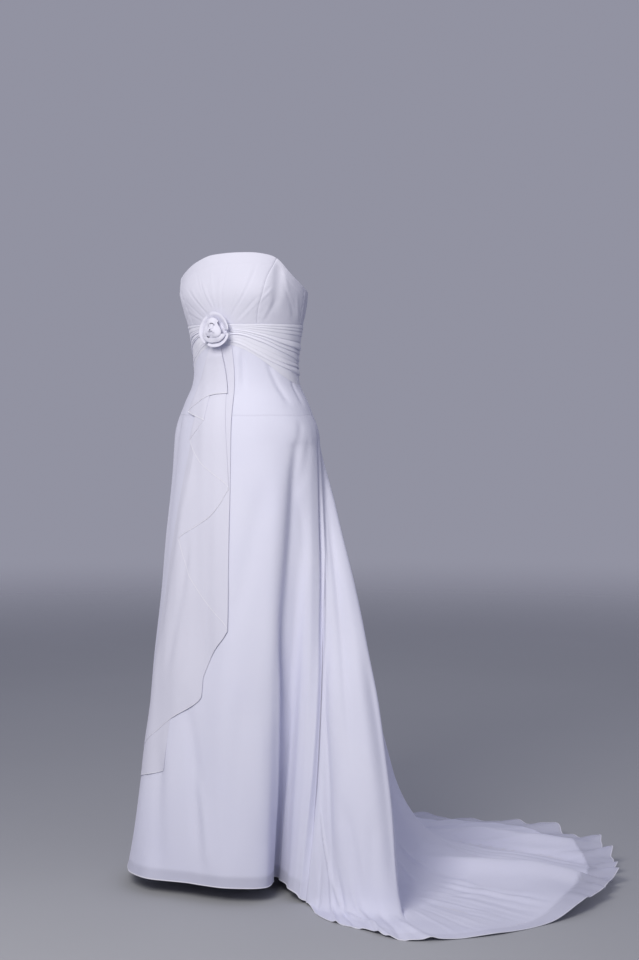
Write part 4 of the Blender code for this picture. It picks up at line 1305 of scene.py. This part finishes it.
@dataclass
class Bodice:
    """The fitted bodice: five panels with princess seams, the front one gathered to the rose."""

    figure: Figure
    # Painted shade: this chiffon's colours are set darker than the same cloth elsewhere on the gown
    finish: Chiffon = Chiffon(
        "bodice_chiffon_painted_shade", colour=(0.715, 0.720, 0.825), deep_colour=(0.665, 0.668, 0.798))
    side_seam: float = 92.0
    wall: float = 0.0020
    rows: int = 58
    edge_rows: tuple[float, ...] = (0.0, 0.00025, 0.0006, 0.0011, 0.0018, 0.0030)
    edge_round: float = 0.0011
    seam_columns: tuple[float, ...] = (0.0, 0.30, 0.65, 1.2)
    seam_sink: float = 0.0008
    seam_width: float = 0.0022
    facing_depth: float = 0.0245
    facing_step: float = 0.0004
    facing_blend: float = 0.004
    plain_top: float = 0.004
    plain_blend: float = 0.012
    waist_sink: float = 0.6
    pucker: float = 0.00025
    pucker_pitch: float = 0.0135
    pucker_wander: float = 2.2
    pucker_drift: float = 0.021
    pucker_reach: float = 0.004
    fitting_steps: int = 12

    def panels(self) -> tuple[Panel, ...]:
        """The five panels, with the seams between them."""
        side = self.side_seam
        princess = self.figure.princess
        left_side, right_side = SIDE_FRONT_CREASES, mirrored(SIDE_FRONT_CREASES, 1.5)
        left_back, right_back = BACK_CREASES, mirrored(BACK_CREASES, 1.0)
        return (
            Panel("bodice_front", lambda h: -princess(h), princess, 150, 0.257, 0.163, 0.0320,
                  FRONT_GATHERS),
            Panel("bodice_side_front_left", princess, seam_at(side), 64, 0.119, 0.156,
                  0.0128, left_side),
            Panel("bodice_side_front_right", seam_at(-side), lambda h: -princess(h), 64,
                  0.117, 0.117, 0.0112, right_side),
            Panel("bodice_back_left", seam_at(side), seam_at(180.0), 60, 0.193,
                  0.082, 0.0120, left_back),
            Panel("bodice_back_right", seam_at(-180.0), seam_at(-side), 60, 0.192,
                  0.082, 0.0121, right_back),
        )

    def grid(self, panel: Panel) -> tuple[Grid, Grid, Grid]:
        """A panel's angles and heights, and the metres from its top edge. Columns keep their
        share of the width between the seams, and the last rows crowd to the neckline."""
        gap = np.degrees(SEAM / self.figure.rings[3].half_width)
        middle = 0.5 * (panel.left(UNDERBUST) + panel.right(UNDERBUST))
        tall = float(self.figure.neckline(middle)) - UNDERBUST
        wide = abs(float(panel.right(UNDERBUST) - panel.left(UNDERBUST)))
        share = stepped(0.0, 1.0, panel.columns, [step / wide for step in self.seam_columns])[None]
        near_top = 1 - np.array(self.edge_rows)[::-1] / tall
        even = np.linspace(0.0, 1.0, self.rows)
        upward = np.concatenate([even[even < near_top[0] - 0.01], near_top])[:, None]
        bottom = UNDERBUST + SEAM
        angle = np.full((len(upward), share.shape[1]), middle)
        for _ in range(self.fitting_steps):
            height = mix(bottom, self.figure.neckline(angle), upward)
            start, end = panel.left(height) + gap, panel.right(height) - gap
            angle = mix(start, end, share)
        top = self.figure.neckline(angle)
        height = mix(bottom, top, upward)
        return angle, height, top - height

    def build(self) -> list[bpy.types.Object]:
        """Makes the panels. Each stands out by its creases, sinks at its seams, steps down below
        the facing of the top edge, and is rounded over along that edge."""
        material = self.finish.material()
        made = []
        for panel in self.panels():
            angle, height, below = self.grid(panel)
            facing = self.figure.facing(angle, height)
            metres = self.figure.metres(angle)
            loose = smooth(below, self.plain_top, self.plain_blend)
            relief = crease_relief(panel.creases, angle, height, metres) * loose
            seams = np.minimum(angle - panel.left(height), panel.right(height) - angle) * metres[0]
            sink = self.seam_sink * hump(seams, self.seam_width)
            sink += self.waist_sink * self.seam_sink * hump(height - UNDERBUST, self.seam_width)
            step = self.facing_step * smooth((self.facing_depth - below) / self.facing_blend)
            wander = self.pucker_wander * np.sin(height / self.pucker_drift)
            pucker = self.pucker * np.sin(2 * np.pi * height / self.pucker_pitch + wander)
            pucker = pucker * hump(seams - self.pucker_reach, self.pucker_reach) * loose
            relief = relief - sink + step + pucker
            outer = self.figure.point(angle, height) + relief[..., None] * facing
            half = np.maximum(self.wall / 2 * rounded(below / self.edge_round), THIN)
            cloth = ClothGrid.of_middle(outer - self.wall / 2 * facing, half, facing)
            made.append(dress(cloth, panel.name, Slot.CHIFFON, material))
        return made


class Pleat(NamedTuple):
    """A pleat's lower edge: heights under the rose, at 17, 41, 66 and 100 degrees and at the
    centre back, how far it stands out by the rose and at the side, and the share of the last
    that is left at the back."""

    under_rose: float
    beside_rose: float
    front: float
    side_front: float
    side: float
    back: float
    rose_depth: float
    side_depth: float
    back_share: float


PLEAT_ANGLES = (0.0, 17.0, 41.0, 66.0, 100.0, 180.0)
PLEATS = tuple(Pleat(*row) for row in (
    (1.1745, 1.17, 1.143, 1.1215, 1.1045, 1.101, 0.0016, 0.0036, 0.6),
    (1.178, 1.176, 1.152, 1.131, 1.119, 1.113, 0.0003, 0.0026, 0.8),
    (1.1815, 1.183, 1.162, 1.142, 1.127, 1.125, 0.0003, 0.0006, 0.9),
    (1.185, 1.19, 1.1745, 1.153, 1.1345, 1.137, 0.0026, 0.0022, 0.8),
    (1.1885, 1.1945, 1.182, 1.1625, 1.149, 1.151, 0.0016, 0.002, 0.8),
    (1.192, 1.198, 1.1875, 1.1705, 1.158, 1.164, 0.0022, 0.004, 0.5),
    (1.1955, 1.201, 1.193, 1.1815, 1.1745, 1.177, 0.0006, 0.0006, 1),
    (1.199, 1.204, 1.199, 1.1925, 1.188, 1.188, 0.0008, 0.0013, 0.9),
    (1.202, 1.2065, 1.2045, 1.2005, 1.1975, 1.198, 0.001, 0.0012, 0.8),
    (1.205, 1.209, 1.2085, 1.2065, 1.204, 1.2045, 0.0008, 0.001, 0.8),
))


@dataclass
class Midriff:
    """The midriff band: four pieces in soft laid pleats that fan out from the rose."""

    figure: Figure
    # Painted light: this chiffon's colours are set lighter than the same cloth elsewhere on the gown
    finish: Chiffon = Chiffon(
        "midriff_chiffon_painted_light", colour=(0.805, 0.812, 0.905), deep_colour=(0.760, 0.765, 0.880))
    wall: float = 0.0018
    rows_in_pleat: tuple[float, ...] = (0.0, 0.03, 0.10, 0.22, 0.42, 0.64, 0.84, 0.95, 1.0)
    profile: tuple[float, ...] = (0.30, 0.74, 0.95, 1.00, 0.86, 0.58, 0.22, -0.06, -0.28)
    rose_end: float = 50.0
    rose_fade: float = 45.0
    lowest: tuple[float, float, float] = (0.0003, 0.0003, 1.0)
    stand: float = 0.0006
    stand_reach: float = 0.012
    seam_columns: tuple[float, ...] = (0.0, 0.3, 0.7, 1.4)
    seam_sink: float = 0.0008
    seam_width: float = 0.0020
    back_start: float = 95.0
    back_fade: float = 50.0
    full_room: float = 0.0040
    least_room: float = 0.15
    wander: float = 0.0016
    wander_reach: float = 40.0
    wander_waves: tuple[float, float] = (2.4, 31.0)
    tug: float = 0.0005
    tug_waves: tuple[float, float, float] = (5.1, 90.0, 12.7)

    def lines(self, angle: Grid) -> Grid:
        """Heights of all pleat edges at the angles, from the waist seam up to the underbust."""
        away = from_front(angle)
        shift = np.where(np.asarray(angle) < 0, 1.0, 0.0)
        lines = [self.figure.waist_seam(angle) + SEAM]
        for k, pleat in enumerate(PLEATS):
            line = through_rows(away, np.array(PLEAT_ANGLES), np.array(pleat[:6]))
            by_row, by_angle = self.wander_waves
            wander = np.sin(k * by_row + away / by_angle) * smooth(away / self.wander_reach)
            lines.append(line + self.wander * shift * wander)
        lines.append(np.full_like(lines[0], UNDERBUST - SEAM))
        return np.maximum.accumulate(np.array(lines), axis=0)

    def build(self) -> list[bpy.types.Object]:
        """Makes the pieces. Between two edges the cloth swells to the pleat's depth just above
        the lower one and falls to nothing under the next, so each pleat laps over the one below."""
        material = self.finish.material()
        form = SkirtForm(self.figure)
        ends = form.value(np.array([RIGHT_SEAM, CENTRE_FRONT, LEFT_SEAM, CENTRE_BACK, FOLD_COUNT]),
                          "angle")
        pieces = {
            "midriff_front_right": (ends[0], ends[1], 96, 0.198, 0.138, 0.0156),
            "midriff_front_left": (ends[1], ends[2], 104, 0.215, 0.141, 0.0179),
            "midriff_back_left": (ends[2], ends[3], 60, 0.164, 0.141, 0.0214),
            "midriff_back_right": (ends[3], ends[4], 66, 0.181, 0.140, 0.0237),
        }
        made = []
        for name, (first, last, columns, width, length, area) in pieces.items():
            gap = np.degrees(SEAM / self.figure.rings[6].half_width)
            angle = stepped(first + gap, last - gap, columns, self.seam_columns)
            lines = self.lines(signed(angle))
            away = from_front(angle)
            to_side = smooth(away, self.rose_end, self.rose_fade)
            to_back = smooth(away, self.back_start, self.back_fade)
            rows, heights = [], []
            for k, sizes in enumerate((self.lowest, *(pleat[6:] for pleat in PLEATS))):
                by_rose, by_side, share = sizes
                depth = mix(by_rose, by_side, to_side) * mix(1.0, share, to_back)
                room = np.clip((lines[k + 1] - lines[k]) / self.full_room, self.least_room, 1.0)
                for f, swell in zip(self.rows_in_pleat, self.profile):
                    heights.append(mix(lines[k], lines[k + 1], f))
                    rows.append(depth * room * swell)
            height, relief = np.array(heights), np.array(rows)
            angle = np.broadcast_to(angle, height.shape)
            short, rising, long = self.tug_waves
            tug = np.sin(angle / short + height * rising) * np.sin(angle / long + 1.0)
            relief = relief + self.tug * tug
            seam = np.minimum(angle - first, last - angle) * self.figure.metres(angle)[0]
            relief = relief - self.seam_sink * hump(seam, self.seam_width)
            facing = self.figure.facing(angle, height)
            base = self.figure.point(angle, height)
            above_seam = height - self.figure.waist_seam(angle)
            relief = (relief + self.stand) * smooth(above_seam / self.stand_reach)
            outer = base + relief[..., None] * facing
            cloth = ClothGrid(outer, base - self.wall * facing, sharp=70.0)
            made.append(dress(cloth, name, Slot.CHIFFON, material))
        return made


@dataclass
class Skirt:
    """The chiffon skirt in three pieces, and the lining under it."""

    form: SkirtForm
    # The skirt's colour darkens towards the hem as painted shade
    finish: Chiffon = Chiffon(
        "skirt_chiffon", colour=(0.768, 0.775, 0.892), deep_colour=(0.685, 0.698, 0.868),
        hem_width=0.0034, yoke_seam=1.0145, hem_painted_shade=0.40)
    lining_finish: LiningSatin = LiningSatin()
    wall: float = 0.0005
    lining_depth: float = 0.0016
    lining_wall: float = 0.0005
    hem_rows: tuple[float, ...] = (0.0, 0.0002, 0.0006, 0.0011, 0.0016, 0.0021, 0.0030, 0.0050, 0.009)
    hem_roll: float = 0.0010
    waist_rows: int = 30
    fall_rows: int = 114
    crowding: float = 1.25
    columns_in_fold: int = 20
    train_columns: int = 28
    seam_columns: tuple[float, ...] = (0.0, 0.012, 0.035, 0.08)
    sheer_blend: float = 0.014
    floor_gap: float = 0.0002

    def rows(self, station: Grid, hem_share: Grid, thinner: int = 1) -> Grid:
        """Shares for rows and columns from an edge up to the waist seam: first the rows of the
        rolled edge, in metres from it, and then ones that crowd to it, closer above the hip."""
        seam = SEAM / (self.form.figure.waist_seam(self.form.value(station, "angle")) - HIP)
        per_share = self.form.metres_above(station, hem_share)
        edge = [hem_share - distance / per_share for distance in self.hem_rows]
        fall = np.linspace(0.0, 1.0, self.fall_rows // thinner)[1:-1, None] ** self.crowding
        waist = np.linspace(1.0, 0.0, self.waist_rows // thinner)[:, None]
        return np.concatenate([np.array(edge), mix(edge[-1], 1.0, fall), mix(seam, 1.0, waist)])

    def stations(self, shares: Grid, stations: Grid) -> Grid:
        """Stations for each row, the end columns moved in by half a seam gap."""
        grid = np.tile(stations, (len(shares), 1))
        step = self.form.steps[0]
        for column, side in ((0, step), (-1, -step)):
            here = self.form.plain(grid[:, column], shares[:, column])
            near = self.form.plain(grid[:, column] + side, shares[:, column])
            grid[:, column] += side * SEAM / np.linalg.norm(near - here, axis=-1)
        return grid

    def cloth(self, station: Grid, share: Grid, depth: float, wall: float, edge: Grid) -> ClothGrid:
        """A layer of the skirt: the draped surface moved in by a depth, with a rolled edge.

        Args:
            station: Grid of stations.
            share: Grid of shares.
            depth: How far the layer lies under the outer surface.
            wall: Its thickness.
            edge: Share of its lower edge, for each column.

        Returns:
            The layer.
        """
        points = self.form.draped(station, share)
        facing = grid_normals(points)
        distance = np.clip(edge - share, 0.0, None) * self.form.metres(station, share)[1]
        half = rolled_wall(distance, wall, self.hem_roll)
        middle = points - (wall / 2 + depth) * facing
        middle[..., 2] = np.maximum(middle[..., 2], FLOOR + half + self.floor_gap)
        return ClothGrid.of_middle(middle, half, facing)

    def build(self) -> list[bpy.types.Object]:
        """Makes the three chiffon pieces and the three lining pieces."""
        chiffon, satin = self.finish.material(), self.lining_finish.material()
        pieces = {
            "front": (RIGHT_SEAM, LEFT_SEAM, (0.88, 1.15), 0.70, (0.85, 1.13), 0.67),
            "back_left": (LEFT_SEAM, CENTRE_BACK, (1.16, 1.61), 0.82, (1.17, 1.54), 0.77),
            "back_right": (CENTRE_BACK, FOLD_COUNT, (1.46, 1.61), 0.71, (1.38, 1.55), 0.67),
        }
        made = []
        for name, (first, last, flat, area, lining_flat, lining_area) in pieces.items():
            front = name == "front"
            count = (last - first) * (self.columns_in_fold if front else self.train_columns)
            columns = stepped(first, last, count, self.seam_columns)
            hem = self.form.hem_share(columns)
            shares = self.rows(columns, hem)
            stations = self.stations(shares, columns)
            layer = self.cloth(stations, shares, 0.0, self.wall, hem)
            border = self.form.lining_share(columns)
            per_share = self.form.metres(stations, shares)[1]
            layer.sheer = smooth((shares - border) * per_share / self.sheer_blend + 0.5)
            layer.sheer = layer.sheer * self.form.sheer_share(columns)
            outer = dress(layer, f"skirt_{name}", Slot.CHIFFON, chiffon)

            columns = stepped(first, last, count // 2, self.seam_columns)
            border = self.form.lining_share(columns)
            shares = self.rows(columns, border, thinner=2)
            stations = self.stations(shares, columns)
            layer = self.cloth(stations, shares, self.lining_depth, self.lining_wall, border)
            made += [outer, dress(layer, f"lining_{name}", Slot.LINING, satin)]
        return made


class Line(NamedTuple):
    """A line of the waterfall panel from the rose to its hem: x at the rose, x and height at the
    hem, and the layer it lies in, counted up from the skirt."""

    name: str
    top_x: float
    hem_x: float
    hem_height: float
    layer: float


WATERFALL_LINES = tuple(Line(*row) for row in (
    ("inner_edge", 0.001, 0.02, 1.061, 7),
    ("first_wave", -0.01, -0.026, 1.054, 7.3),
    ("first_left_fold", -0.026, -0.079, 1.025, 7),
    ("first_left_turn", -0.027, -0.08, 1.018, 6),
    ("second_right_fold", -0.014, -0.034, 1.004, 6),
    ("second_right_turn", -0.013, -0.033, 0.998, 5),
    ("second_left_fold", -0.025, -0.066, 0.963, 5),
    ("second_left_turn", -0.026, -0.067, 0.955, 4),
    ("second_wave", -0.014, -0.032, 0.911, 4.3),
    ("third_right_fold", -0.001, 0.037, 0.865, 4),
    ("third_right_turn", 0.001, 0.038, 0.847, 3),
    ("third_wave", -0.01, 0.004, 0.798, 3.2),
    ("third_left_fold", -0.029, -0.071, 0.752, 3),
    ("third_left_turn", -0.03, -0.072, 0.73, 2),
    ("fourth_wave", -0.012, -0.043, 0.668, 2.4),
    ("fourth_bend", 0.006, 0.006, 0.613, 1.8),
    ("fourth_right_fold", 0.024, 0.059, 0.568, 2),
    ("fourth_right_turn", 0.026, 0.06, 0.549, 1),
    ("long_edge_1", 0.022, 0.031, 0.508, 1.3),
    ("long_edge_2", 0.012, 0.007, 0.446, 0.8),
    ("long_edge_3", 0.006, 0.004, 0.408, 1.3),
    ("long_edge_4", -0.012, -0.076, 0.356, 1),
    ("outer_fold", -0.031, -0.15, 0.29, 1),
    ("outer_turn", -0.033, -0.156, 0.276, 0),
    ("tail_tip", -0.033, -0.19, 0.222, 0),
    ("tail_edge", -0.02, -0.12, 0.24, 0.2),
    ("tail_end", -0.012, -0.072, 0.256, 0),
))


class Sway(NamedTuple):
    """A wave of the panel: height, share of its fall over which it starts, waves by x and by
    height, in radians a metre, and phase."""

    height: float
    reach: float
    by_x: float
    by_height: float
    phase: float


@dataclass
class Waterfall:
    """The waterfall panel, one length of chiffon in folded layers from the rose."""

    form: SkirtForm
    finish: Chiffon = Chiffon(
        "waterfall_chiffon", hem_width=0.0030, sheer_alpha=0.95, colour=(0.762, 0.768, 0.892))
    top: float = 1.1655
    seat: float = 0.0012
    clearance: float = 0.0014
    ease: float = 0.22
    layer: float = 0.0008
    gather: float = 0.25
    crowding: float = 1.3
    wall: float = 0.0004
    hem_roll: float = 0.0005
    edge_steps: tuple[float, ...] = (0.0, 0.0003, 0.0008, 0.0013, 0.0018, 0.0028, 0.0060)
    rows: int = 104
    long_steps: int = 10
    turn_steps: int = 6
    turn_reach: float = 0.023
    sways: tuple[Sway, ...] = (
        Sway(0.0007, 0.5, 62.0, 9.0, 0.0),
        Sway(0.00042, 0.5, 20.0, 31.0, 1.3),
        Sway(0.0003, 0.3, 190.0, 14.0, 0.0),
    )

    def columns(self) -> Grid:
        """Fractional line numbers: more steps across a width of cloth than round a turn."""
        hem_x = np.array([line.hem_x for line in WATERFALL_LINES])
        height = np.array([line.hem_height for line in WATERFALL_LINES])
        spans = np.hypot(np.diff(hem_x), np.diff(height))
        counts = np.where(spans < self.turn_reach, self.turn_steps, self.long_steps)
        parts = [k + np.arange(count) / count for k, count in enumerate(counts)]
        return np.append(np.concatenate(parts), len(WATERFALL_LINES) - 1.0)

    def value(self, place: Grid, column: str) -> Grid:
        """A column of the lines' table at a fractional line, as a Catmull-Rom curve. A fold
        overshoots a little, which rounds its edge."""
        values = np.array([getattr(line, column) for line in WATERFALL_LINES], float)
        row = np.clip(np.floor(place).astype(int), 0, len(values) - 2)
        before, after = np.maximum(row - 1, 0), np.minimum(row + 2, len(values) - 1)
        near = (values[before], values[row], values[row + 1], values[after])
        return catmull_rom(*near, place - row)

    def build(self) -> list[bpy.types.Object]:
        """Makes the panel. Each line falls straight from the rose to its hem on the skirt's
        surface, moved out by its layer. All layers sway alike, so they stay apart."""
        lines = self.columns()
        top_x, hem_x, hem_height, layer = (
            self.value(lines, name) for name in ("top_x", "hem_x", "hem_height", "layer")
        )
        length = np.hypot(hem_x - top_x, self.top - hem_height)
        even = np.linspace(0.0, 1.0, self.rows)[1:, None] ** (1 / self.crowding)
        even = np.broadcast_to(even, (self.rows - 1, len(lines)))
        edge = np.array(self.edge_steps)[:, None] / length
        start = 1 - edge[-1]
        down = np.concatenate([1 - edge, start * (1 - even)])
        x, height = mix(top_x, hem_x, down), mix(self.top, hem_height, down)
        points, facing = self.form.on_front(x, height)
        hanging = smooth(down / self.ease)
        clearance = mix(self.seat, self.clearance, hanging)
        spacing = self.layer * mix(self.gather, 1.0, hanging)
        sway = sum(
            wave.height * smooth(down / wave.reach)
            * np.sin(x * wave.by_x + height * wave.by_height + wave.phase)
            for wave in self.sways
        )
        points = points + (clearance + layer * spacing + sway)[..., None] * facing
        facing = grid_normals(points)
        half = rolled_wall((1 - down) * length, self.wall, self.hem_roll)
        cloth = ClothGrid.of_middle(points, half, facing, sheer=1.0, sharp=80.0)
        return [dress(cloth, "waterfall_panel", Slot.CHIFFON, self.finish.material())]


class Petal(NamedTuple):
    """A petal: the angle of its middle, the angle it spans, radii of its root and lip, how far
    it stands out, how far the lip flares and closes over, how three-cornered it is, and its
    wrinkles' phase."""

    name: str
    turn: float
    spread: float
    root: float
    lip: float
    rise: float
    flare: float
    close: float
    corners: float
    phase: float


PETALS = tuple(Petal(*row) for row in (
    ("bud", 90, 350, 0.0034, 0.0062, 0.0248, 0, 0.0056, 0.3, 0),
    ("petal_1", 30, 190, 0.0064, 0.0108, 0.022, 0, 0.007, 0.3, 0.7),
    ("petal_2", 200, 190, 0.009, 0.0154, 0.0211, 0, 0.0104, 0.26, 1.9),
    ("petal_3", 330, 170, 0.0118, 0.0202, 0.0196, 0, 0.0117, 0.2, 2.8),
    ("petal_4", 140, 170, 0.0148, 0.0248, 0.0174, 0, 0.0115, 0.14, 3.9),
    ("petal_5", 265, 150, 0.0178, 0.0294, 0.0146, 0, 0.0109, 0.1, 4.6),
    ("petal_6", 55, 108, 0.0208, 0.0345, 0.0112, 0.002, 0, 0.02, 5.5),
    ("petal_7", 175, 108, 0.0208, 0.0345, 0.0112, 0.002, 0, 0.02, 0.4),
    ("petal_8", 295, 108, 0.0208, 0.0345, 0.0112, 0.002, 0, 0.02, 1.2),
))


@dataclass
class Rose:
    """The fabric rose: a round base on the midriff, and petals that wind out from the bud."""

    figure: Figure
    finish: Chiffon = Chiffon(
        "rose_chiffon", colour=(0.765, 0.768, 0.880), deep_colour=(0.710, 0.710, 0.846),
        ripple_scale=110.0, ripple_depth=0.0005)
    centre_x: float = -0.003
    height: float = 1.199
    base_radius: float = 0.027
    base_depth: float = 0.0015
    lift: float = 0.0010
    face_gap: float = 0.0006
    base_points: int = 29
    rim_start: float = 0.7
    rim_gather: float = 0.0004
    rim_waves: int = 22
    wall: float = 0.0007
    wind: float = 0.0012
    crown: float = 0.12
    columns: int = 56
    rows: int = 26
    curl: float = 0.0010
    crumple: float = 0.0003
    tip: float = 95.0
    gather: float = 0.00022
    curl_start: float = 0.72
    round_share: float = 0.03
    thin: float = 0.00004
    row_crowding: float = 1.4
    closed_growth: float = 0.6
    open_growth: float = 0.8
    close_start: float = 0.5
    corner_root: float = 0.35
    end_fade: float = 0.25
    lip_wave: tuple[float, float] = (0.3, 3.0)
    rise_wave: tuple[float, float] = (0.035, 5.0)
    rise_peak: float = 0.03
    lip_droop: float = 0.55
    gather_waves: tuple[float, float] = (11.0, 19.0)
    crumple_waves: tuple[float, float, float, float] = (9.0, 5.0, 4.1, 7.0)

    def base(self) -> ClothGrid:
        """The base: a disc mapped from a square, flat in front, on the midriff behind, with
        faint gathers round its rim."""
        square = np.linspace(-1.0, 1.0, self.base_points)
        across, upward = np.meshgrid(square, square)
        x = self.centre_x + self.base_radius * across * np.sqrt(1 - upward**2 / 2)
        height = self.height + self.base_radius * upward * np.sqrt(1 - across**2 / 2)
        back = self.figure.point(self.figure.angle_at(x, height), height)
        back[..., 1] -= self.lift
        front = back.copy()
        front[..., 1] = back[..., 1].min() - self.base_depth
        around = np.arctan2(upward, across)
        rim = smooth((np.hypot(across, upward) - self.rim_start) / (1 - self.rim_start))
        front[..., 1] += self.rim_gather * rim * np.sin(self.rim_waves * around)
        return ClothGrid(front, back)

    def petal(self, petal: Petal, face: float) -> ClothGrid:
        """A petal: a curved strip whose radius grows from root to lip while it stands out from
        the face, and inner ones close over from half-way. Corners adds cos(3 angle) to the
        radius, the lip curls outwards, small gathers run up from the root, and a product of two
        sines crumples it."""
        columns = self.columns * 2 if petal.spread > 300 else self.columns
        even = np.linspace(-1.0, 1.0, columns)
        around = np.radians(petal.turn + petal.spread * even / 2)
        out = (1 - (1 - np.linspace(0.0, 1.0, self.rows)) ** self.row_crowding)[:, None]
        grown = smooth(out / self.closed_growth) if petal.close else out**self.open_growth
        radius = mix(petal.root, petal.lip, grown)
        closing = smooth(out, self.close_start, 1 - self.close_start)
        radius = radius + petal.flare * out**4 - petal.close * closing
        radius = radius + self.wind * (even + 1) / 2 * out
        peak = np.cos(3 * (around - np.radians(self.tip)))
        radius = radius * (1 + petal.corners * peak * mix(self.corner_root, 1.0, out))
        closed = smooth((1 - np.abs(even)) / self.end_fade)
        late = smooth(out, self.curl_start, 1 - self.curl_start)
        curl = late**2 * closed * (0.0 if petal.close else 1.0)
        size, turns = self.lip_wave
        radius = radius + self.curl * curl * (1 + size * np.sin(turns * even + petal.phase))
        rise = petal.rise * (1 - self.crown * even**4)
        size, turns = self.rise_wave
        rise = rise * (1 + size * np.sin(turns * even + petal.phase) + self.rise_peak * peak)
        stood = 1.5 * out - 0.5 * out**3 if petal.close else out
        depth = self.wall / 2 + (rise - petal.flare * out**3) * stood
        depth = depth - self.lip_droop * self.curl * curl
        wide, fine = self.gather_waves
        gathers = np.sin(wide * even + 2 * petal.phase) + 0.5 * np.sin(fine * even + petal.phase)
        radius = radius + self.gather * gathers * (1 - out) ** 0.5
        a, b, c, d = self.crumple_waves
        crumple = np.sin(a * even + b * out + petal.phase) * np.sin(c * even - d * out + petal.phase)
        depth = depth + self.crumple * crumple * out
        points = np.stack([
            self.centre_x + radius * np.cos(around),
            face - depth,
            self.height - UNDERBUST + radius * np.sin(around),
        ], axis=-1)
        side = grid_normals(points)
        half = np.maximum(self.wall / 2 * rounded((1 - out) / self.round_share), self.thin)
        return ClothGrid.of_middle(points, half, side, sharp=80.0)

    def build(self) -> list[bpy.types.Object]:
        """Makes the base, the bud and the petals."""
        material = self.finish.material()
        base = self.base()
        middle = self.base_points // 2
        face = float(base.outer[middle, middle, 1]) - self.face_gap
        made = [dress(base, "rose_base", Slot.ROSE, material)]
        for petal in PETALS:
            cloth = self.petal(petal, face)
            size = cloth.metres()
            made.append(dress(cloth, "rose_" + petal.name, Slot.ROSE, material))
        return made


@dataclass
class ZipHardware:
    """The concealed zip's slider and pull, which keep their solids, in enamel."""

    finish: Enamel = Enamel()
    nodes: tuple[str, ...] = ("zip_slider", "zip_pull")

    def build(self) -> list[bpy.types.Object]:
        """Gives both nodes their enamel."""
        material = self.finish.material()
        made = []
        for name in self.nodes:
            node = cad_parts[name]
            node.data.materials.clear()
            node.data.materials.append(material)
            made.append(node)
        return made


class Lamp(NamedTuple):
    """A softbox: compass angle from the front towards the wearer's left, elevation, distance
    from its aim, width, height, power in watts and colour."""

    name: str
    angle: float
    elevation: float
    distance: float
    width: float
    height: float
    power: float
    colour: Colour


@dataclass
class Studio:
    """A plain pale floor, softboxes and the camera."""

    aim: tuple[float, float, float] = (0.10, 0.0, -0.30)
    lamps: tuple[Lamp, ...] = (
        Lamp("key", 9.0, 27.5, 2.4, 1.1, 1.25, 45.5, (1.0, 0.965, 0.90)),
        Lamp("top", 60.0, 70.0, 3.4, 1.8, 1.8, 3.0, (0.95, 0.96, 1.0)),
        Lamp("back", -165.0, 34.0, 3.8, 2.2, 2.2, 12.0, (0.96, 0.97, 1.0)),
    )
    sky: Colour = (0.64, 0.645, 0.800)
    sky_strength: float = 0.45
    floor_finish: StudioFloor = StudioFloor()
    floor_radius: float = 9.0
    camera_angle: float = 30.0
    camera_aside: float = 0.163
    camera_distance: float = 4.0
    camera_height: float = 1.05
    lens: float = 67.5
    sensor: float = 36.0
    shift: float = -81 / 960

    def build(self) -> None:
        """Makes the stage."""
        self._floor()
        for lamp in self.lamps:
            self._lamp(lamp)
        self._world()
        self._camera()
        LOG.info("studio: floor, %d lamps, camera", len(self.lamps))

    def _floor(self) -> None:
        """A round floor: one ring of points round the middle, filled as one face."""
        around = np.linspace(0, 2 * np.pi, 97)[:-1]
        points = np.stack([np.cos(around), np.sin(around), np.zeros_like(around)], axis=-1)
        points = points * self.floor_radius + (0.0, 0.0, FLOOR)
        mesh = bpy.data.meshes.new("floor")
        mesh.from_pydata(points.tolist(), [], [tuple(range(len(points)))])
        mesh.materials.append(self.floor_finish.material())
        floor = add_object("floor", mesh)

    def _lamp(self, lamp: Lamp) -> None:
        """A rectangular area light that looks at the aim."""
        data = bpy.data.lights.new(lamp.name, "AREA")
        data.shape = "RECTANGLE"
        data.size, data.size_y = lamp.width, lamp.height
        data.energy, data.color = lamp.power, lamp.colour
        turn, up = np.radians(lamp.angle), np.radians(lamp.elevation)
        away = Vector((np.sin(turn) * np.cos(up), -np.cos(turn) * np.cos(up), np.sin(up)))
        made = add_object(lamp.name, data)
        made.location = Vector(self.aim) + away * lamp.distance
        made.rotation_euler = (-away).to_track_quat("-Z", "Y").to_euler()

    def _world(self) -> None:
        """An even pale sky, and colours shown as they are lit."""
        world = bpy.data.worlds.new("studio")
        world.use_nodes = True
        background = world.node_tree.nodes["Background"]
        background.inputs["Color"].default_value = (*self.sky, 1.0)
        background.inputs["Strength"].default_value = self.sky_strength
        bpy.context.scene.world = world
        bpy.context.scene.view_settings.view_transform = "Standard"

    def _camera(self) -> None:
        """A level camera at the photograph's angle, with its frame lowered by a shift."""
        turn = np.radians(self.camera_angle)
        right = np.array([np.cos(turn), np.sin(turn), 0.0])
        forward = np.array([-np.sin(turn), np.cos(turn), 0.0])
        place = right * self.camera_aside - forward * self.camera_distance
        data = bpy.data.cameras.new("camera")
        data.lens, data.sensor_width, data.shift_y = self.lens, self.sensor, self.shift
        camera = add_object("camera", data)
        camera.location = (*place[:2], self.camera_height - UNDERBUST)
        camera.rotation_euler = (np.pi / 2, 0.0, turn)
        bpy.context.scene.camera = camera


def main() -> None:
    """Builds the studio and then each part of the gown, from the bodice down."""
    logging.basicConfig(level=logging.INFO, format="%(name)s: %(message)s")
    Studio().build()
    figure = Figure()
    form = SkirtForm(figure)
    for part in (Bodice(figure), Midriff(figure), Skirt(form), Waterfall(form), Rose(figure),
                 ZipHardware()):
        pieces = part.build()
        LOG.info("%s: %d pieces", type(part).__name__, len(pieces))


if __name__ == "__main__":
    main()
